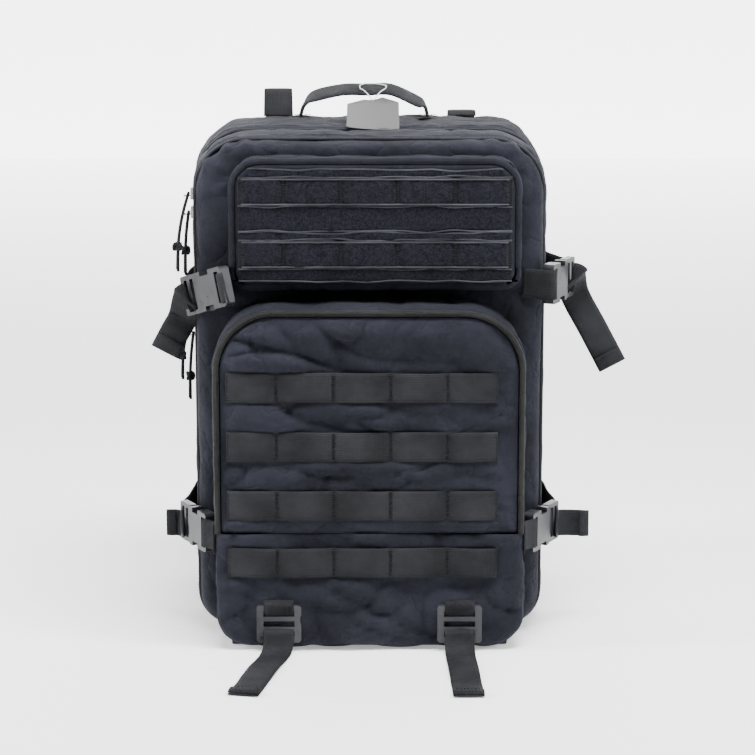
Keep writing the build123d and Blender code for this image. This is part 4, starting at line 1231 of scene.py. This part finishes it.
def groove(piece, lines, width, depth):
    """Press sewn channels into a pad's outer face: each line is a pair of (x, z) ends."""
    co = get_points(piece)
    facing = np.clip(get_points(piece, "normal")[:, 1], 0, 1)
    press = np.zeros(len(co))
    for start, end in lines:
        run = np.array(end) - np.array(start)
        rel = co[:, [0, 2]] - np.array(start)
        t = np.clip(rel @ run / (run @ run), 0, 1)
        away = np.linalg.norm(rel - t[:, None] * run, axis=1)
        press = np.maximum(press, np.exp(-(away / width) ** 2))
    co[:, 1] -= press * depth * facing
    set_points(piece, co)


def make_back(m):
    low, high = EDGE["back_pad"]
    pad = node_mesh("back_pad_foam", "back_pad")
    stuff(pad, 5 * MM, 4, 5 * MM, 1.6 * MM)
    ribs = [((low.x + 26 * MM, z), (high.x - 26 * MM, z))
            for z in np.linspace(low.z + 60 * MM, high.z - 60 * MM, 5)]
    spine = [((side * 34 * MM, low.z + 14 * MM), (side * 34 * MM, high.z - 14 * MM)) for _, side in SIDES]
    groove(pad, spine, 7 * MM, 4.5 * MM)
    groove(pad, ribs, 4 * MM, 2.5 * MM)
    settle(pad, "pack", m["mesh"], ["back_pad"])
    rim, out = outline((low.x, low.z), (high.x, high.z), 30 * MM, 30 * MM, 4 * MM)
    rim[:, 1] = low.y + 1.6 * MM
    settle(swept("back_pad_binding", rim, round_section(1.8 * MM, 8), out), "pack", m["binding"])


SHOULDER_PATH = [(42, 396), (62, 344), (98, 294), (106, 219), (88, 162)]


def make_shoulders(m):
    for name, side in SIDES:
        node = f"shoulder_strap_{name}"
        outer = EDGE[node][1].y
        pad = node_mesh(f"{node}_foam", node)
        stuff(pad, 4.5 * MM, 4, 4 * MM, 1.5 * MM)
        path = smooth_path([(side * x * MM, 0, z * MM) for x, z in SHOULDER_PATH], 5 * MM)
        forward = unit(np.gradient(path, axis=0))
        lines = []
        for shift in (-21 * MM, 21 * MM):
            edge = path[:, [0, 2]] + np.stack([forward[:, 2], -forward[:, 0]], axis=1) * shift
            lines += list(zip(edge, edge[1:]))
        groove(pad, lines, 2.5 * MM, 2 * MM)
        settle(pad, "pack", m["mesh"], [node])
        forward = unit(path[2:] - path[:-2])
        across = np.stack([forward[:, 2], forward[:, 1] * 0, -forward[:, 0]], axis=1)
        picks = range(6, len(path) - 2, 3)
        web(f"{node}_webbing", [(path[i][0], outer + 0.9 * MM, path[i][2]) for i in picks],
            [tuple(across[i - 1]) for i in picks], m, wave=0.3 * MM, seed=2)
        bars = []
        for i in range(8, len(path) - 4, 8):
            centre = path[i] + np.array((0, outer + 2.0 * MM, 0))
            bars += [[centre + forward[i - 1] * k * MM + across[i - 1] * end * MM for end in (-11, 11)]
                     for k in (-0.8, 0, 0.8)]
        settle(stitching(f"{node}_tacks", bars, Y, 1.6 * MM, 0.5 * MM, 0.4 * MM), "pack", m["thread"])


def make_harness(m):
    low, high = EDGE["strap_yoke"]
    z = (low.z + high.z) / 2
    yoke = ribbon("yoke_webbing", [(low.x, high.y - 3 * MM, z), (low.x * 0.5, high.y - 0.6 * MM, z),
                                   (0, high.y - 1.6 * MM, z), (high.x * 0.5, high.y - 0.6 * MM, z),
                                   (high.x, high.y - 3 * MM, z)], Z, high.z - low.z, 2.4 * MM)
    settle(yoke, "pack", m["cloth"], ["strap_yoke"])
    for tag, side in SIDES:
        box_stitch(f"yoke_stitch_{tag}", (side * 42 * MM - 12 * MM, high.y + 0.9 * MM, z - 12 * MM),
                   (24 * MM, 0, 0), (0, 0, 24 * MM), Y, m)
    y = EDGE["lower_harness"][0].y + 0.9 * MM
    for (tag, side), nodes in zip(SIDES, (["lower_harness"], ())):
        live = [(side * x * MM, y, z * MM) for x, z in ((81, 128), (86, 108), (89, 90), (101, 64), (112, 44))]
        web(f"harness_{tag}_webbing", live, [(1, 0, 0), (1, 0, 0.1), (1, 0, side * 0.25), (1, 0, side * 0.6),
                                             (1, 0, side * 0.6)], m, nodes=nodes, wave=0.3 * MM)
        tail = [(side * x * MM, y + out * MM, z * MM)
                for x, out, z in ((83, 4.6, 142), (83, 5.4, 118), (84, 3.8, 96), (85, 5.6, 75))]
        web(f"harness_{tag}_tail", tail, X, m, wave=0.5 * MM, seed=4)
        lock = ladder_lock(f"harness_{tag}_lock", (side * 81 * MM, y + 2 * MM, 142 * MM))
        settle(lock, "pack", m["plastic"])
    low, high = EDGE["load_lifters"]
    base = EDGE["main_shell"][1].z
    for (tag, side), top, nodes in zip(SIDES, (high.z - 0.8 * MM, base + 4 * MM), (["load_lifters"], ())):
        lifter = [(low.y + 0.5 * MM, base + 0.9 * MM), (low.y + 8 * MM, (base + top) / 2 + 2 * MM),
                  (low.y + 14 * MM, top), (low.y + 23 * MM, top - 1 * MM), (high.y - 3 * MM, base - 12 * MM),
                  (high.y - 0.8 * MM, base - 40 * MM), (high.y - 0.9 * MM, low.z + 1 * MM)]
        web(f"load_lifter_{tag}", [(side * (high.x - WEBBING / 2), *place) for place in lifter], X, m,
            nodes=nodes, wave=0.3 * MM)


def ladder_lock(name, centre):
    """A moulded ladder lock facing +Y: a frame with two slots and a lifted tab."""
    verts, faces = [], []

    def bar(x, z, half_x, half_z, half_out, lift=0.0):
        faces.extend(tuple(len(verts) + k for k in quad) for quad in (
            (0, 1, 3, 2), (4, 6, 7, 5), (0, 4, 5, 1), (2, 3, 7, 6), (0, 2, 6, 4), (1, 5, 7, 3)))
        verts.extend(Vector(centre) + Vector((x + a * half_x, c * half_out + lift, z + b * half_z)) * MM
                     for a in (-1, 1) for b in (-1, 1) for c in (-1, 1))

    for z in (-12, -2, 8):
        bar(0, z, 19, 2, 1.6)
    bar(0, 13, 15, 2.4, 1.2, 1.2)
    for side in (-1, 1):
        bar(side * 17, -2, 2, 12, 1.6)
    piece = mesh_object(name, verts, faces)
    bevel = piece.modifiers.new("soft", "BEVEL")
    bevel.width = 0.7 * MM
    bevel.segments = 2
    apply_modifiers(piece)
    return piece


def make_belts(m):
    low, high = EDGE["sternum_left"]
    y, z, width = (low.y + high.y) / 2, (low.z + high.z) / 2, high.z - low.z
    web("sternum_left_webbing", [(low.x, y, z), (low.x * 0.7, y - 0.6 * MM, z - 0.5 * MM), (high.x * 1.3, y, z),
                                 (high.x + 3 * MM, y, z)], Z, m, nodes=["sternum_left"], width=width)
    reach = EDGE["sternum_male"][1].x
    web("sternum_right_webbing", [(27 * MM, y - 3.6 * MM, z), (45 * MM, y - 3.8 * MM, z),
                                  (reach * 0.75, y - 3.9 * MM, z), (reach, y - 3.6 * MM, z)], Z, m,
        "sternum_buckle", width=width, thickness=1.2 * MM)
    low, high = EDGE["waist_belt"]
    z, width = (low.z + high.z) / 2, high.z - low.z
    y, back = EDGE["waist_socket"][0].y + 5 * MM, EDGE["main_shell"][1].y
    web("waist_left_webbing", [(-26 * MM, y, z), (-60 * MM, y - 0.8 * MM, z), (low.x + 30 * MM, y - 2 * MM, z),
                               (low.x + 9 * MM, y - 9 * MM, z), (low.x + 1.2 * MM, back + 1 * MM, z),
                               (low.x + 0.9 * MM, low.y, z)], Z, m, nodes=["waist_belt"], width=width,
        wave=0.4 * MM)
    low, high = EDGE["waist_tip"]
    x = (low.x + high.x) / 2
    web("waist_right_webbing", [(x, low.y, z), (x + 0.5 * MM, (low.y + high.y) / 2, z), (x, high.y, z)], Z, m,
        nodes=["waist_tip"], width=width, wave=0.3 * MM)


def make_divider(m):
    sheet = pouch("lower_pocket_divider", *EDGE["lower_divider"], 6 * MM, 6 * MM, 0.6 * MM, 0.6 * MM, 6 * MM,
                  lambda co, inside, depth: soft_noise(co, 60 * MM, 91) * 0.4 * MM)
    settle(sheet, "pack", m["cloth"], ["lower_divider"])


# ------------------------------------------------------------------ kept CAD parts
def finish_hardware(m):
    for node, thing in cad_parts.items():
        if thing.hide_render:
            continue
        metal = "sliders" in node
        thing.data.materials.clear()
        thing.data.materials.append(m["metal"] if metal else m["plastic"])
        if node in ("sternum_male", "waist_male"):
            # one solid holds the buckle half and its strap, which is cloth beyond the buckle
            thing.data.materials.append(m["base"])
            beyond = [(thing.matrix_world @ v.co).x > 26 * MM for v in thing.data.vertices]
            for face in thing.data.polygons:
                face.material_index = int(all(beyond[i] for i in face.vertices))
        bevel = thing.modifiers.new("soft_edges", "BEVEL")
        bevel.width = (0.35 if metal else 0.7) * MM
        bevel.segments = 2
        bevel.limit_method = "ANGLE"


def build():
    make_camera()
    make_studio()
    materials = make_materials()
    make_cords(materials)
    make_tag(materials)
    make_shells(materials)
    zip_band("main_zip", "main_zip", materials)
    zip_band("second_zip", "mid_zip", materials)
    make_pockets(materials)
    pocket_zip("lower_zip", ARCH_RADIUS, materials, materials["zip_grey"])
    pocket_zip("upper_zip", UPPER_RADIUS, materials, materials["cloth"], 14 * MM)
    for make in (make_rows, make_loop_panels, make_straps, make_side_webbing, make_tabs, make_bottom,
                 make_handle, make_back, make_shoulders, make_harness, make_belts, make_divider,
                 finish_hardware):
        make(materials)


build()
